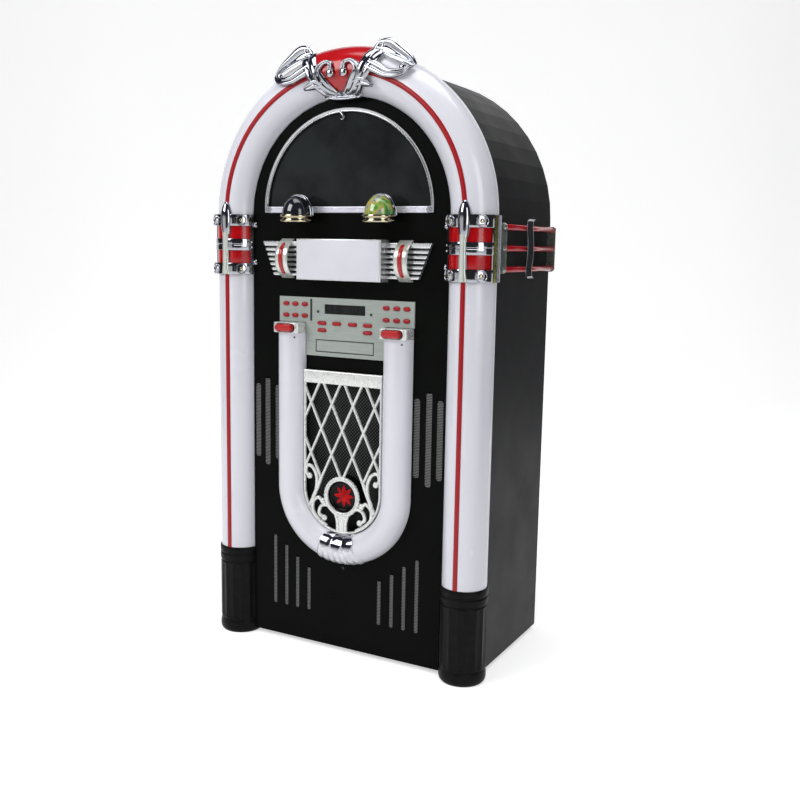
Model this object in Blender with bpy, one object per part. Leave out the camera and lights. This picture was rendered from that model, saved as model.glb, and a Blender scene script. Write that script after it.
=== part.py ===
"""Jukebox: an arched floor-standing music cabinet with light tubes, a cast grille and a disc tray.

Units are metres, +Z is up and the front looks along -Y.
The origin is the middle of the floor rectangle that the whole jukebox covers.
"""
import math

import bmesh
import bpy
import numpy as np

# Overall sizes
WIDTH = 0.656
DEPTH = 0.383
HEIGHT = 1.269
LAMP_REACH = 0.0345
GAP = 0.0003
OVERRUN = 0.004
ARCH_STEPS = 20
SHELL_STEPS = 25

# Places along Y: the dome lamps are the foremost point, the cabinet's back the hindmost
BACK_Y = (DEPTH + LAMP_REACH) / 2
FOOT_FRONT_Y = BACK_Y - DEPTH
PANEL_SETBACK = 0.0355
PANEL_Y = FOOT_FRONT_Y + PANEL_SETBACK

# Feet and light tubes
FOOT_RADIUS = 0.049
FOOT_HEIGHT = 0.200
FOOT_SOCKET = 0.020
FLUTES = 16
FLUTE_DEPTH = 0.0016
TUBE_RADIUS = 0.046
TUBE_SIDES = 20
PILLAR_X = WIDTH / 2 - FOOT_RADIUS
PILLAR_Y = FOOT_FRONT_Y + FOOT_RADIUS
BOARD_HALF = PILLAR_X - TUBE_RADIUS
PIPING_WIDTH = 0.010
PIPING_PROUD = 0.0022

# Cabinet: its arch springs where the crest on top then reaches the whole height
SHELL_SETBACK = 0.018
CABINET_WIDTH = WIDTH - 2 * SHELL_SETBACK
CREST_RISE = 0.057
SPRING_Z = HEIGHT - CREST_RISE - PILLAR_X
FLOOR_CLEARANCE = 0.010
WALL = 0.015
GLIDE_SIZE = 0.040
GLIDE_INSET = 0.012
BACK_THICKNESS = 0.009
BACK_INSET = 0.003

# Clamps on the pillars, with red sleeves under a chrome frame
CLAMP_HEIGHT = 0.127
CLAMP_OVERLAP = 0.002
CLAMP_TOP = SPRING_Z + CLAMP_OVERLAP
CLAMP_BOTTOM = CLAMP_TOP - CLAMP_HEIGHT
CLAMP_BAND = 0.0245
SLEEVE_THICKNESS = 0.0017
SLEEVE_INSET = 0.003
SLEEVE_STEPS = 11
CLAMP_THICKNESS = 0.0028
BULLET_WIDTH = 0.018
BULLET_PROUD = 0.0055
BULLET_TIP = 0.028
SOCKET_RADIUS = 0.0122
SOCKET_PROUD = 0.0045
SOCKET_BORE = 0.0082
SOCKET_TURNS = (130.0, 50.0)
SOCKET_SIDES = 10
SOCKET_TAPER_SHARE = 0.9

# Side rails
ROD_RADIUS = 0.005
ROD_SIDES = 8
ROD_PITCH = 0.041
RAIL_DROP = 0.062
ROD_MIDDLE_Z = CLAMP_TOP - RAIL_DROP
ROD_STANDOFF = 0.0125
BRACKET_WIDTH = 0.013
BRACKET_OVERLAP = 0.008
RAIL_FRONT_SETBACK = 0.0015
RAIL_BACK_INSET = 0.022
STRAP_START_SHARE = 0.40
STRAP_WIDTH = 0.034
STRAP_THICKNESS = 0.004
STRAP_BOW = 0.007
STRAP_CLEARANCE = 0.003
STRAP_OVERHANG = 0.022
STRAP_SEAT_SHARE = 0.8

# Window
WINDOW_MARGIN = 0.033
WINDOW_LIFT = 0.012
WINDOW_RADIUS = BOARD_HALF - WINDOW_MARGIN
WINDOW_Z = SPRING_Z + WINDOW_LIFT
WINDOW_RECESS = 0.007
TRIM_WIDTH = 0.0075
TRIM_PROUD = 0.004
SILL_HEIGHT = 0.013
GLASS_THICKNESS = 0.003
WINDOW_STEPS = 24

# Dome lamps
LAMP_X = 0.097
LAMP_RADIUS = 0.0345
LAMP_HEIGHT = 0.041
LAMP_SIDES = 16
LAMP_RINGS = 6
LAMP_TILT = 84.0
BASE_DROP = 0.0118
BASE_TOP = WINDOW_Z - BASE_DROP
BASE_TIER = 0.0055
BASE_STEP = 0.004
BASE_WAIST = 0.0042
BASE_ARM = 0.030
HOOP_WIDTH = 0.011
HOOP_GROOVE = 0.003
HOOP_THICKNESS = 0.0026
HOOP_FLOOR_SHARE = 0.45

# Louvred wings and the bare plate between them
WING_DROP = 0.053
WING_HEIGHT = 0.071
WING_LEAN = 0.028
WING_TOP = SPRING_Z - WING_DROP
WING_BOTTOM = WING_TOP - WING_HEIGHT
WING_TOP_X = WINDOW_RADIUS
WING_BOTTOM_X = WING_TOP_X - WING_LEAN
WING_PLATE = 0.003
WING_PROUD = 0.012
LOUVRES = 7
LOUVRE_GAP_SHARE = 0.42
PLATE_HALF = WINDOW_RADIUS / 2
PLATE_OVERLAP = 0.007
PLATE_BOTTOM = WING_BOTTOM - PLATE_OVERLAP
PLATE_HEIGHT = 0.084
PLATE_PROUD = 0.036
PLATE_EDGE = 0.004
EDGE_STEPS = 2
STRAP_OFFSET = 0.041
STRAP_X = PLATE_HALF + STRAP_OFFSET
WING_STRAP_WIDTH = 0.030
WING_STRAP_PROUD = 0.031
WING_STRAP_THICKNESS = 0.0035
WING_STRAP_HEIGHT = 0.082
RED_BAR_WIDTH = 0.008
RED_BAR_PROUD = 0.003
RED_BAR_SHARE = 0.38
BAR_FACE_SHARE = 0.7
BOW_STEPS = 8
BOW_POWER = 2.5
BOW_REAR_POWER = 6

# Vent slots: distance in from the front board's edge, bottom and top of each
VENT_WIDTH = 0.014
UPPER_VENTS = ((0.063, 0.407, 0.574), (0.036, 0.391, 0.589), (0.011, 0.407, 0.574))
LOWER_VENT_WIDTH = 0.009
LOWER_VENTS = ((0.145, 0.078, 0.179), (0.115, 0.078, 0.199), (0.086, 0.078, 0.220), (0.056, 0.078, 0.238))
VENT_END_STEPS = 3
MESH_THICKNESS = 0.0012
MESH_MARGIN = 0.006

# Control panel: it hangs below the bare plate, and its head is as wide as the U-shaped tube below it
U_HALF = 0.128
U_RADIUS = 0.032
CONTROL_DROP = 0.037
CONTROL_HEAD = 0.0525
CONTROL_HEIGHT = 0.1215
CONTROL_MARGIN = 0.002
CONTROL_INSET = 0.0015
CONTROL_HALF = U_HALF + U_RADIUS + CONTROL_MARGIN
CONTROL_CENTRE_HALF = U_HALF - U_RADIUS - CONTROL_INSET
CONTROL_TOP = PLATE_BOTTOM - CONTROL_DROP
CONTROL_SHOULDER = CONTROL_TOP - CONTROL_HEAD
CONTROL_BOTTOM = CONTROL_TOP - CONTROL_HEIGHT
CONTROL_PROUD = 0.0035
CONTROL_BEARING = 0.006
DISPLAY_HALF = 0.049
DISPLAY_HEIGHT = 0.020
DISPLAY_DROP = 0.013
DISPLAY_TOP = CONTROL_TOP - DISPLAY_DROP
DISPLAY_BOTTOM = DISPLAY_TOP - DISPLAY_HEIGHT
DISPLAY_RECESS = 0.0008

# Push buttons: how far each row hangs below the panel's top and each column stands off its end
SMALL_BUTTON = (0.016, 0.009)
LONG_BUTTON = (0.022, 0.008)
SMALL_COLUMN_INSETS = (0.064, 0.040, 0.017)
SMALL_ROW_DROPS = (0.015, 0.039)
LONG_ROW_DROPS = (0.0525, 0.0675)
LONG_COLUMNS = (0.019, 0.055)
BUTTON_PROUD = 0.0028
BUTTON_TRAVEL = 0.0015
BUTTON_FLANGE = 0.0012
FLANGE_OVERHANG = 0.0012
BUTTON_CLEARANCE = 0.0004
BUTTON_END_STEPS = 3
BOARD_THICKNESS = 0.0016
BOARD_CLEARANCE = 0.0007
BOARD_REST = BUTTON_TRAVEL + BOARD_CLEARANCE

# Speaker: U-shaped light tube, grille and medallion
U_CENTRE_Z = 0.363
U_STEPS = 20
U_SECTION_STEPS = 10
SHELL_HALF_ANGLE = 20.0
SHELL_PROUD = 0.003
SHELL_RIBS = 7
SHELL_RIB_DEPTH = 0.002
CAP_HEIGHT = 0.021
CAP_CLEARANCE = 0.0015
U_TOP = CONTROL_SHOULDER - CAP_HEIGHT - CAP_CLEARANCE
CAP_PROUD = 0.034
JEWEL_LENGTH = 0.042
JEWEL_HEIGHT = 0.015
JEWEL_PROUD = 0.010
JEWEL_STEPS = 4
GRILLE_PROUD = 0.012
GRILLE_THICKNESS = 0.005
GRILLE_CLEARANCE = 0.001
GRILLE_HALF = U_HALF - U_RADIUS - GRILLE_CLEARANCE
GRILLE_DROP = 0.0295
GRILLE_TOP = CONTROL_BOTTOM - GRILLE_DROP
GRILLE_BAR = 0.028
GRILLE_STEPS = 18
MEDALLION_DROP = 0.015
MEDALLION_Z = U_CENTRE_Z - MEDALLION_DROP
RING_OUTER = 0.044
RING_INNER = 0.034
ROUND_SIDES = 24
STAR_POINTS = 8
STAR_RADIUS_SHARES = (0.74, 0.36)
STAR_RISE = 0.0019
LATTICE_RISE = 0.032
LATTICE_BOTTOM = MEDALLION_Z + LATTICE_RISE
LATTICE_PITCH_X = 0.0515
LATTICE_PITCH_Z = 0.108
LATTICE_DROP = 0.123
LATTICE_MIDDLE_Z = GRILLE_TOP - LATTICE_DROP
LATTICE_RIB = 0.0045
LATTICE_LINES = 4
RIB_FACE_SHARE = 0.6
SCROLL_RIB = 0.0058
SCROLL_BALL = 0.0064
SCROLL_STEPS = 2
BALL_SIDES = 8

# Thin steps in depth keep the faces of crossing ribs apart: counted in these, how deep each rib lies
LAYER = 0.00025
RISING_LAYER = 3
FALLING_LAYER = 5
RING_LAYER = 3
SCROLL_LAYER = 1.5
SCROLL_LAYER_STEP = 0.7
SIDE_LAYER_STEP = 0.6

OPENING_MARGIN = 0.028
OPENING_HALF = U_HALF - OPENING_MARGIN
OPENING_DROP = 0.010
OPENING_TOP = GRILLE_TOP - OPENING_DROP
OPENING_STEPS = 16
SPEAKER_RADIUS = 0.082
SPEAKER_DEPTH = 0.060
SPEAKER_DROP = 0.149
SPEAKER_Z = OPENING_TOP - SPEAKER_DROP
SPEAKER_RIM = 0.006
CONE_LIP = 0.009
MAGNET_RADIUS = 0.036
MAGNET_DEPTH = 0.018

# Disc drive
TRAY_RISE = 0.0215
TRAY_MIDDLE_Z = CONTROL_BOTTOM + TRAY_RISE
TRAY_FACE_WIDTH = 0.136
TRAY_FACE_HEIGHT = 0.022
TRAY_FACE_THICKNESS = 0.004
TRAY_CLEARANCE = 0.0006
TRAY_WIDTH = 0.128
TRAY_LENGTH = 0.155
TRAY_THICKNESS = 0.007
DISC_RADIUS = 0.0603
DISC_RECESS = 0.0022
DISC_HOLE = 0.010
DISC_SETBACK = 0.070
DISC_STEPS = 24
DRIVE_WALL = 0.002
DRIVE_DEPTH = 0.165
DRIVE_HEIGHT = 0.030

# Crest over the top of the arch
DOME_HALF_ANGLE = 14.0
DOME_LIFT = 0.0016
DOME_THICKNESS = 0.0027
DOME_FRONT_ANGLE = -35.0
DOME_BACK_ANGLE = 136.0
DOME_STEPS = 8
CREST_THICKNESS = 0.0055
CREST_CLEARANCE = 0.0005
CREST_REACH = 0.162
CREST_DROP = 0.052
CREST_BOTTOM_Z = SPRING_Z + PILLAR_X - CREST_DROP
CREST_HEIGHT = CREST_RISE + CREST_DROP
CREST_LAYER = 0.0002
CREST_BEND_SHARE = 0.86

# Power on the back panel
INLET_X = 0.200
INLET_Z = 0.120
INLET_WIDTH = 0.048
INLET_HEIGHT = 0.030
INLET_DEPTH = 0.024
INLET_BORE_WIDTH = 0.025
INLET_BORE_HEIGHT = 0.017
INLET_BORE_DEPTH = 0.016
INLET_CHAMFER = 0.005
SWITCH_X = 0.140
SWITCH_WIDTH = 0.020
SWITCH_HEIGHT = 0.028
SWITCH_DEPTH = 0.012
SWITCH_SHARE = 0.9
SWITCH_ANGLES = (-75.0, 255.0)
SWITCH_STEPS = 12
BACK_VENTS = 5
BACK_VENT_PITCH = 0.030
BACK_VENT_LENGTH = 0.180
BACK_VENT_WIDTH = 0.008
BACK_VENT_Z = 0.760

# Scrolls of the grille's right half, as shares of the grille's half width from the medallion's middle
SCROLL_SHARES = (
    ((0.54, 0.39), (0.62, 0.18), (0.74, -0.08), (0.84, -0.28)),
    ((0.86, 0.38), (0.95, 0.48), (0.91, 0.62), (0.76, 0.58), (0.66, 0.38), (0.67, 0.12), (0.76, -0.10)),
    ((0.50, -0.16), (0.62, -0.09), (0.75, -0.20), (0.75, -0.42), (0.58, -0.60), (0.38, -0.72)),
    ((0.46, -0.54), (0.59, -0.45), (0.54, -0.28), (0.36, -0.24), (0.19, -0.36), (0.11, -0.56), (0.10, -0.80)),
)

# Leaves of the crest's right half: x and z as shares of its half width and height, then the width share
CREST_LEAF_SHARES = (
    ((0.02, 0.06, 0.06), (0.20, 0.08, 0.08), (0.31, 0.27, 0.13), (0.385, 0.50, 0.19), (0.47, 0.74, 0.20),
     (0.55, 0.967, 0.09)),
    ((0.48, 0.88, 0.12), (0.62, 0.85, 0.20), (0.76, 0.73, 0.18), (0.90, 0.60, 0.13), (0.99, 0.49, 0.05)),
    ((0.97, 0.48, 0.05), (0.85, 0.36, 0.10), (0.68, 0.36, 0.12), (0.54, 0.46, 0.15), (0.42, 0.55, 0.15)),
    ((0.22, 0.22, 0.10), (0.33, 0.25, 0.12), (0.42, 0.21, 0.08), (0.49, 0.17, 0.03)),
    ((0.30, 0.40, 0.09), (0.26, 0.54, 0.075), (0.18, 0.625, 0.06), (0.105, 0.60, 0.06), (0.09, 0.52, 0.075),
     (0.09, 0.43, 0.10), (0.09, 0.36, 0.05)),
)
CREST_BAR_SHARES = ((-0.235, 0.05, 0.055), (-0.1, 0.025, 0.06), (0.1, 0.025, 0.06), (0.235, 0.05, 0.055))
CREST_LEAF_STEPS = 2

# A leaf's section: reach to each side and rise, as shares, with a flute down its middle
CREST_SECTION_SHARES = ((-1, 0), (-1, 0.5), (-0.55, 1), (0, 0.6), (0.55, 1), (1, 0.5), (1, 0), (0, 0))

# A clamp's pointed strip: height and width of each step of its tip, then how much of it its flat face keeps
BULLET_TIP_SHARES = ((0.0, 1.0), (0.6, 0.75), (1.0, 0.12))
BULLET_FACE_SHARE = 0.5

# What each finish looks like: colour, roughness, metallic
FINISHES = {
    "satin_black": ((0.012, 0.012, 0.013), 0.35, 0.0),
    "black_plastic": ((0.015, 0.015, 0.016), 0.45, 0.0),
    "tube_white": ((0.86, 0.88, 0.92), 0.18, 0.0),
    "piping_red": ((0.55, 0.01, 0.015), 0.25, 0.0),
    "chrome": ((0.80, 0.81, 0.83), 0.08, 1.0),
    "silver": ((0.55, 0.56, 0.56), 0.35, 0.6),
    "champagne": ((0.75, 0.68, 0.48), 0.15, 1.0),
    "red_gloss": ((0.60, 0.01, 0.015), 0.12, 0.0),
    "smoked_glass": ((0.03, 0.035, 0.035), 0.05, 0.0),
    "plate_white": ((0.85, 0.85, 0.88), 0.35, 0.0),
    "dark_mesh": ((0.06, 0.06, 0.065), 0.55, 0.3),
    "circuit": ((0.05, 0.16, 0.08), 0.50, 0.0),
    "paper_cone": ((0.05, 0.05, 0.05), 0.80, 0.0),
}


def clear_scene():
    """Start from an empty scene."""
    for item in list(bpy.data.objects):
        bpy.data.objects.remove(item, do_unlink=True)


def finish_for(name, finish):
    """Give a sub-part its own Principled material in one of the finishes."""
    colour, roughness, metallic = FINISHES[finish]
    made = bpy.data.materials.new(f"{name}_{finish}")
    made.use_nodes = True
    shader = made.node_tree.nodes["Principled BSDF"]
    shader.inputs["Base Color"].default_value = (*colour, 1.0)
    shader.inputs["Roughness"].default_value = roughness
    shader.inputs["Metallic"].default_value = metallic
    return made


def face_outward(mesh):
    """Turn every face of a closed mesh outward."""
    working = bmesh.new()
    working.from_mesh(mesh)
    bmesh.ops.recalc_face_normals(working, faces=working.faces)
    working.to_mesh(mesh)
    working.free()


def add_mesh(name, vertices, faces, finish):
    """Make one object from its vertices and faces."""
    mesh = bpy.data.meshes.new(name)
    mesh.from_pydata([tuple(map(float, vertex)) for vertex in vertices], [], faces)
    mesh.materials.append(finish_for(name, finish))
    face_outward(mesh)
    made = bpy.data.objects.new(name, mesh)
    bpy.context.collection.objects.link(made)
    return made


def loft(name, rings, finish, ring=False):
    """Skin a row of equal loops of points: open rows get flat ends, a ring closes on itself."""
    rings = np.asarray(rings, dtype=float)
    loops, sides = rings.shape[:2]
    grid = np.arange(loops * sides).reshape(loops, sides).tolist()
    faces = []
    for step in range(loops if ring else loops - 1):
        low = grid[step]
        high = grid[(step + 1) % loops]
        for side in range(sides):
            after = (side + 1) % sides
            faces.append((low[side], low[after], high[after], high[side]))
    if not ring:
        faces.append(tuple(grid[0]))
        faces.append(tuple(grid[-1]))
    return add_mesh(name, rings.reshape(-1, 3), faces, finish)


def prism(name, outline, front, back, finish):
    """Extrude an (x, z) outline along Y."""
    return loft(name, [[(x, y, z) for x, z in outline] for y in (front, back)], finish)


def block(name, low, high, finish):
    """A box between two corners."""
    outline = ((low[0], low[2]), (high[0], low[2]), (high[0], high[2]), (low[0], high[2]))
    return prism(name, outline, low[1], high[1], finish)


def arc(centre_x, centre_z, radius, start, end, steps):
    """Path points (x, z, outward angle) round a circle, angles in degrees."""
    path = []
    for angle in np.linspace(start, end, steps + 1):
        turn = math.radians(angle)
        path.append((centre_x + radius * math.cos(turn), centre_z + radius * math.sin(turn), float(angle)))
    return path


def sweep(name, path, section, finish, ring=False):
    """Carry a section of (outward, y) points along a path of (x, z, outward angle)."""
    rings = []
    for x, z, angle in path:
        turn = math.radians(angle)
        rings.append([(x + out * math.cos(turn), y, z + out * math.sin(turn)) for out, y in section])
    return loft(name, rings, finish, ring)


def round_section(radius, middle_y):
    """The round section of a light tube, with a corner at its front."""
    turns = np.arange(TUBE_SIDES) * math.tau / TUBE_SIDES
    return [(radius * math.cos(turn), middle_y + radius * math.sin(turn)) for turn in turns]


def around(radius):
    """The corner radius of a tube-sided ring whose flats stay outside a circle."""
    return radius / math.cos(math.pi / TUBE_SIDES)


def smooth_path(points, steps):
    """A smooth curve through points, with some steps between each two (Catmull-Rom)."""
    points = np.asarray(points, dtype=float)
    padded = np.vstack([2 * points[0] - points[1], points, 2 * points[-1] - points[-2]])
    curve = []
    for index in range(len(points) - 1):
        before, start, end, after = padded[index:index + 4]
        for share in np.arange(steps) / steps:
            straight = end - before
            bend = 2 * before - 5 * start + 4 * end - after
            twist = 3 * start - before - 3 * end + after
            curve.append(start + share * (straight + share * (bend + share * twist)) / 2)
    curve.append(points[-1])
    return np.array(curve)


def bake(made):
    """Keep an object's evaluated mesh and drop its modifiers."""
    bpy.context.view_layer.update()
    evaluated = made.evaluated_get(bpy.context.evaluated_depsgraph_get())
    mesh = bpy.data.meshes.new_from_object(evaluated)
    made.modifiers.clear()
    made.data = mesh


def combine(target, tools, operation):
    """Cut tools out of a piece, or join them to it, and take the tools away."""
    for tool in tools:
        step = target.modifiers.new(tool.name, "BOOLEAN")
        step.operation = operation
        step.solver = "EXACT"
        step.object = tool
    bake(target)
    for tool in tools:
        bpy.data.objects.remove(tool, do_unlink=True)
    return target


def soften(made, angle=35.0):
    """Smooth shading with hard edges kept."""
    made.data.shade_smooth()
    made.data.set_sharp_from_angle(angle=math.radians(angle))
    return made


def arched_outline(half_width, bottom, steps=ARCH_STEPS):
    """The cabinet's front outline: straight sides under a half round."""
    top = [(x, z) for x, z, _ in arc(0, SPRING_Z, half_width, 0, 180, steps)]
    return [(half_width, bottom), *top, (-half_width, bottom)]


def tube_path(low):
    """The centre line of the white tubes: up one pillar, over the arch and down the other."""
    over = arc(0, SPRING_Z, PILLAR_X, 180, 0, ARCH_STEPS)
    return [(-PILLAR_X, low, 180.0), *over, (PILLAR_X, low, 0.0)]


def upright(name, radius, low, high, side, finish):
    """An upright round piece on a pillar's axis, with the tubes' corners."""
    path = [(side * PILLAR_X, low, 0.0), (side * PILLAR_X, high, 0.0)]
    turns = np.arange(TUBE_SIDES) * math.tau / TUBE_SIDES
    rings = [[(x + radius * math.cos(turn), PILLAR_Y + radius * math.sin(turn), z) for turn in turns]
             for x, z, _ in path]
    return loft(name, rings, finish)


def clear_tubes(made):
    """Cut the room for the tubes and the feet out of a board."""
    cutters = [sweep("tube_cutter", tube_path(-OVERRUN), round_section(TUBE_RADIUS + GAP, PILLAR_Y), "chrome")]
    for side in (-1, 1):
        radius = around(FOOT_RADIUS + GAP)
        cutters.append(upright("foot_cutter", radius, -OVERRUN, FOOT_HEIGHT + GAP, side, "chrome"))
    return combine(made, cutters, "DIFFERENCE")


def make_cabinet():
    """The arched tunnel of board, with two glides under its back."""
    half = CABINET_WIDTH / 2
    front = PANEL_Y + WALL + GAP
    outline = arched_outline(half, FLOOR_CLEARANCE, SHELL_STEPS)
    shell = prism("cabinet_shell", outline, front, BACK_Y, "satin_black")
    inside = arched_outline(half - WALL, FLOOR_CLEARANCE + WALL, SHELL_STEPS)
    combine(shell, [prism("cabinet_room", inside, front - OVERRUN, BACK_Y + OVERRUN, "chrome")], "DIFFERENCE")
    clear_tubes(shell)
    glides = []
    for side in (-1, 1):
        outer = side * (half - GLIDE_INSET)
        inner = outer - side * GLIDE_SIZE
        low = (min(outer, inner), BACK_Y - GLIDE_INSET - GLIDE_SIZE, 0)
        high = (max(outer, inner), BACK_Y - GLIDE_INSET, FLOOR_CLEARANCE + WALL / 2)
        glides.append(block("glide", low, high, "black_plastic"))
    return soften(combine(shell, glides, "UNION"))


def slot_outline(middle_x, bottom, top, width):
    """An upright slot with round ends."""
    radius = width / 2
    upper = arc(middle_x, top - radius, radius, 0, 180, VENT_END_STEPS)
    lower = arc(middle_x, bottom + radius, radius, 180, 360, VENT_END_STEPS)
    return [(x, z) for x, z, _ in upper + lower]


def speaker_opening():
    """The speaker's opening: a flat top over a half round."""
    lower = [(x, z) for x, z, _ in arc(0, U_CENTRE_Z, OPENING_HALF, 180, 360, OPENING_STEPS)]
    return [(-OPENING_HALF, OPENING_TOP), *lower, (OPENING_HALF, OPENING_TOP)]


def control_outline(inset):
    """The control panel's outline: a wide head over a narrower body, drawn in by an inset."""
    wide = CONTROL_HALF - inset
    narrow = CONTROL_CENTRE_HALF - inset
    top = CONTROL_TOP - inset
    shoulder = CONTROL_SHOULDER + inset
    bottom = CONTROL_BOTTOM + inset
    right = [(narrow, bottom), (narrow, shoulder), (wide, shoulder), (wide, top)]
    return right + [(-x, z) for x, z in reversed(right)]


def window_outline(radius):
    """The window's half round over its sill."""
    return [(x, z) for x, z, _ in arc(0, WINDOW_Z, radius, 0, 180, WINDOW_STEPS)]


def make_front_panel():
    """The front board with its window recess, openings and vent slots."""
    half = BOARD_HALF - GAP
    panel = prism("front_panel", arched_outline(half, FLOOR_CLEARANCE), PANEL_Y, PANEL_Y + WALL, "satin_black")
    before = PANEL_Y - OVERRUN
    behind = PANEL_Y + WALL + OVERRUN
    recess = window_outline(WINDOW_RADIUS - TRIM_WIDTH / 2)
    cutters = [
        prism("window_cutter", recess, before, PANEL_Y + WINDOW_RECESS, "chrome"),
        prism("speaker_cutter", speaker_opening(), before, behind, "chrome"),
        prism("control_cutter", control_outline(CONTROL_BEARING), before, behind, "chrome"),
    ]
    for side in (-1, 1):
        for table, width in ((UPPER_VENTS, VENT_WIDTH), (LOWER_VENTS, LOWER_VENT_WIDTH)):
            for inset, bottom, top in table:
                outline = slot_outline(side * (BOARD_HALF - inset), bottom, top, width)
                cutters.append(prism("vent_cutter", outline, before, behind, "chrome"))
    combine(panel, cutters, "DIFFERENCE")
    return soften(clear_tubes(panel))


def make_back_panel():
    """The back board, let into the shell, with vents and room for the power fittings."""
    half = CABINET_WIDTH / 2 - WALL - GAP
    front = BACK_Y - BACK_INSET - BACK_THICKNESS
    back = BACK_Y - BACK_INSET
    outline = arched_outline(half, FLOOR_CLEARANCE + WALL + GAP, SHELL_STEPS)
    panel = prism("back_panel", outline, front, back, "satin_black")
    cutters = []
    for index in range(BACK_VENTS):
        middle = (index - (BACK_VENTS - 1) / 2) * BACK_VENT_PITCH
        outline = slot_outline(middle, BACK_VENT_Z, BACK_VENT_Z + BACK_VENT_LENGTH, BACK_VENT_WIDTH)
        cutters.append(prism("back_vent", outline, front - OVERRUN, back + OVERRUN, "chrome"))
    fittings = ((INLET_X, INLET_WIDTH, INLET_HEIGHT), (SWITCH_X, SWITCH_WIDTH, SWITCH_HEIGHT))
    for middle, width, height in fittings:
        half_width = width / 2 + GAP
        half_height = height / 2 + GAP
        low = (middle - half_width, front - OVERRUN, INLET_Z - half_height)
        high = (middle + half_width, back + OVERRUN, INLET_Z + half_height)
        cutters.append(block("fitting_cutter", low, high, "chrome"))
    return soften(combine(panel, cutters, "DIFFERENCE"))


# Rings of a foot: height, how far inside the foot's radius, and whether it is fluted
FOOT_RINGS = (
    (0.0, 0.0050, 0), (0.006, 0.0010, 0), (0.016, 0.0, 0), (0.030, 0.0026, 0),
    (0.034, 0.0008, 1), (0.160, 0.0008, 1), (0.164, 0.0026, 0), (0.168, 0.0, 0), (0.180, 0.0, 0),
    (0.183, 0.0020, 0), (0.187, 0.0, 0), (FOOT_HEIGHT, 0.0010, 0),
)


def make_foot(name, side):
    """A fluted shoe with ring grooves and a socket for the pillar."""
    sides = FLUTES * 3
    turns = np.arange(sides) * math.tau / sides
    rings = []
    for height, inset, fluted in FOOT_RINGS:
        reach = FOOT_RADIUS - inset - fluted * FLUTE_DEPTH * (1 - np.cos(FLUTES * turns)) / 2
        x = side * PILLAR_X + reach * np.cos(turns)
        y = PILLAR_Y + reach * np.sin(turns)
        rings.append(np.column_stack([x, y, np.full(sides, height)]))
    foot = loft(name, rings, "black_plastic")
    floor = FOOT_HEIGHT - FOOT_SOCKET
    socket = upright("socket", around(TUBE_RADIUS + GAP), floor, FOOT_HEIGHT + OVERRUN, side, "chrome")
    return soften(combine(foot, [socket], "DIFFERENCE"))


def make_tubes():
    """The two pillar tubes and the arch tube that meet inside the clamps."""
    joint = (CLAMP_BOTTOM + CLAMP_TOP) / 2
    foot_floor = FOOT_HEIGHT - FOOT_SOCKET + GAP
    for name, side in (("pillar_tube_l", -1), ("pillar_tube_r", 1)):
        soften(upright(name, TUBE_RADIUS, foot_floor, joint - GAP / 2, side, "tube_white"))
    soften(sweep("arch_tube", tube_path(joint + GAP / 2), round_section(TUBE_RADIUS, PILLAR_Y), "tube_white"))


def make_piping():
    """The red line on the front of the tubes, broken at the clamps."""
    back = TUBE_RADIUS + GAP
    half = PIPING_WIDTH / 2
    edge = math.sqrt(back ** 2 - half ** 2)
    front = back + PIPING_PROUD
    crown = half / 2
    section = [(out, PILLAR_Y - reach) for out, reach in
               ((-half, edge), (0, back), (half, edge), (crown, front), (-crown, front))]
    for name, side in (("piping_l", -1), ("piping_r", 1)):
        path = [(side * PILLAR_X, FOOT_HEIGHT + GAP, 0.0), (side * PILLAR_X, CLAMP_BOTTOM - GAP, 0.0)]
        soften(sweep(name, path, section, "piping_red"))
    rise = math.degrees(math.asin((CLAMP_TOP + GAP - SPRING_Z) / PILLAR_X))
    over = arc(0, SPRING_Z, PILLAR_X, 180 - rise, rise, ARCH_STEPS)
    soften(sweep("piping_arch", over, section, "piping_red"))


def slab(name, outer, inner, present, finish):
    """A curved plate between two grids of points, with open cells where present is false."""
    rows, columns = present.shape
    grid = np.arange((rows + 1) * (columns + 1)).reshape(rows + 1, columns + 1)
    count = grid.size
    faces = []
    for row in range(rows):
        for column in range(columns):
            if not present[row, column]:
                continue
            corners = [int(grid[row, column]), int(grid[row, column + 1]),
                       int(grid[row + 1, column + 1]), int(grid[row + 1, column])]
            faces.append(tuple(corners))
            faces.append(tuple(corner + count for corner in reversed(corners)))
            neighbours = ((row - 1, column), (row, column + 1), (row + 1, column), (row, column - 1))
            for edge, (near_row, near_column) in enumerate(neighbours):
                inside = 0 <= near_row < rows and 0 <= near_column < columns
                if inside and present[near_row, near_column]:
                    continue
                start = corners[edge]
                end = corners[(edge + 1) % 4]
                faces.append((end, start, start + count, end + count))
    vertices = np.vstack([np.asarray(outer).reshape(-1, 3), np.asarray(inner).reshape(-1, 3)])
    return add_mesh(name, vertices, faces, finish)


def wrapped(radius, turns, levels, side):
    """A grid of points round a pillar: angles from outward, negative toward the front."""
    angles = np.radians(turns)
    x = side * (PILLAR_X + radius * np.cos(angles))
    y = PILLAR_Y + radius * np.sin(angles)
    return np.array([[(xx, yy, z) for xx, yy in zip(x, y)] for z in levels])


# Angles round a clamp's frame, and which of its columns are solid from top to bottom
CLAMP_STOPS = (-162.0, -153.0, -135.0, -117.0, -99.0, -81.0, -63.0, -45.0, -27.0, -9.0, 9.0, 27.0, 36.0)
CLAMP_SOLID = (0, 4, 10, 11)


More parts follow.
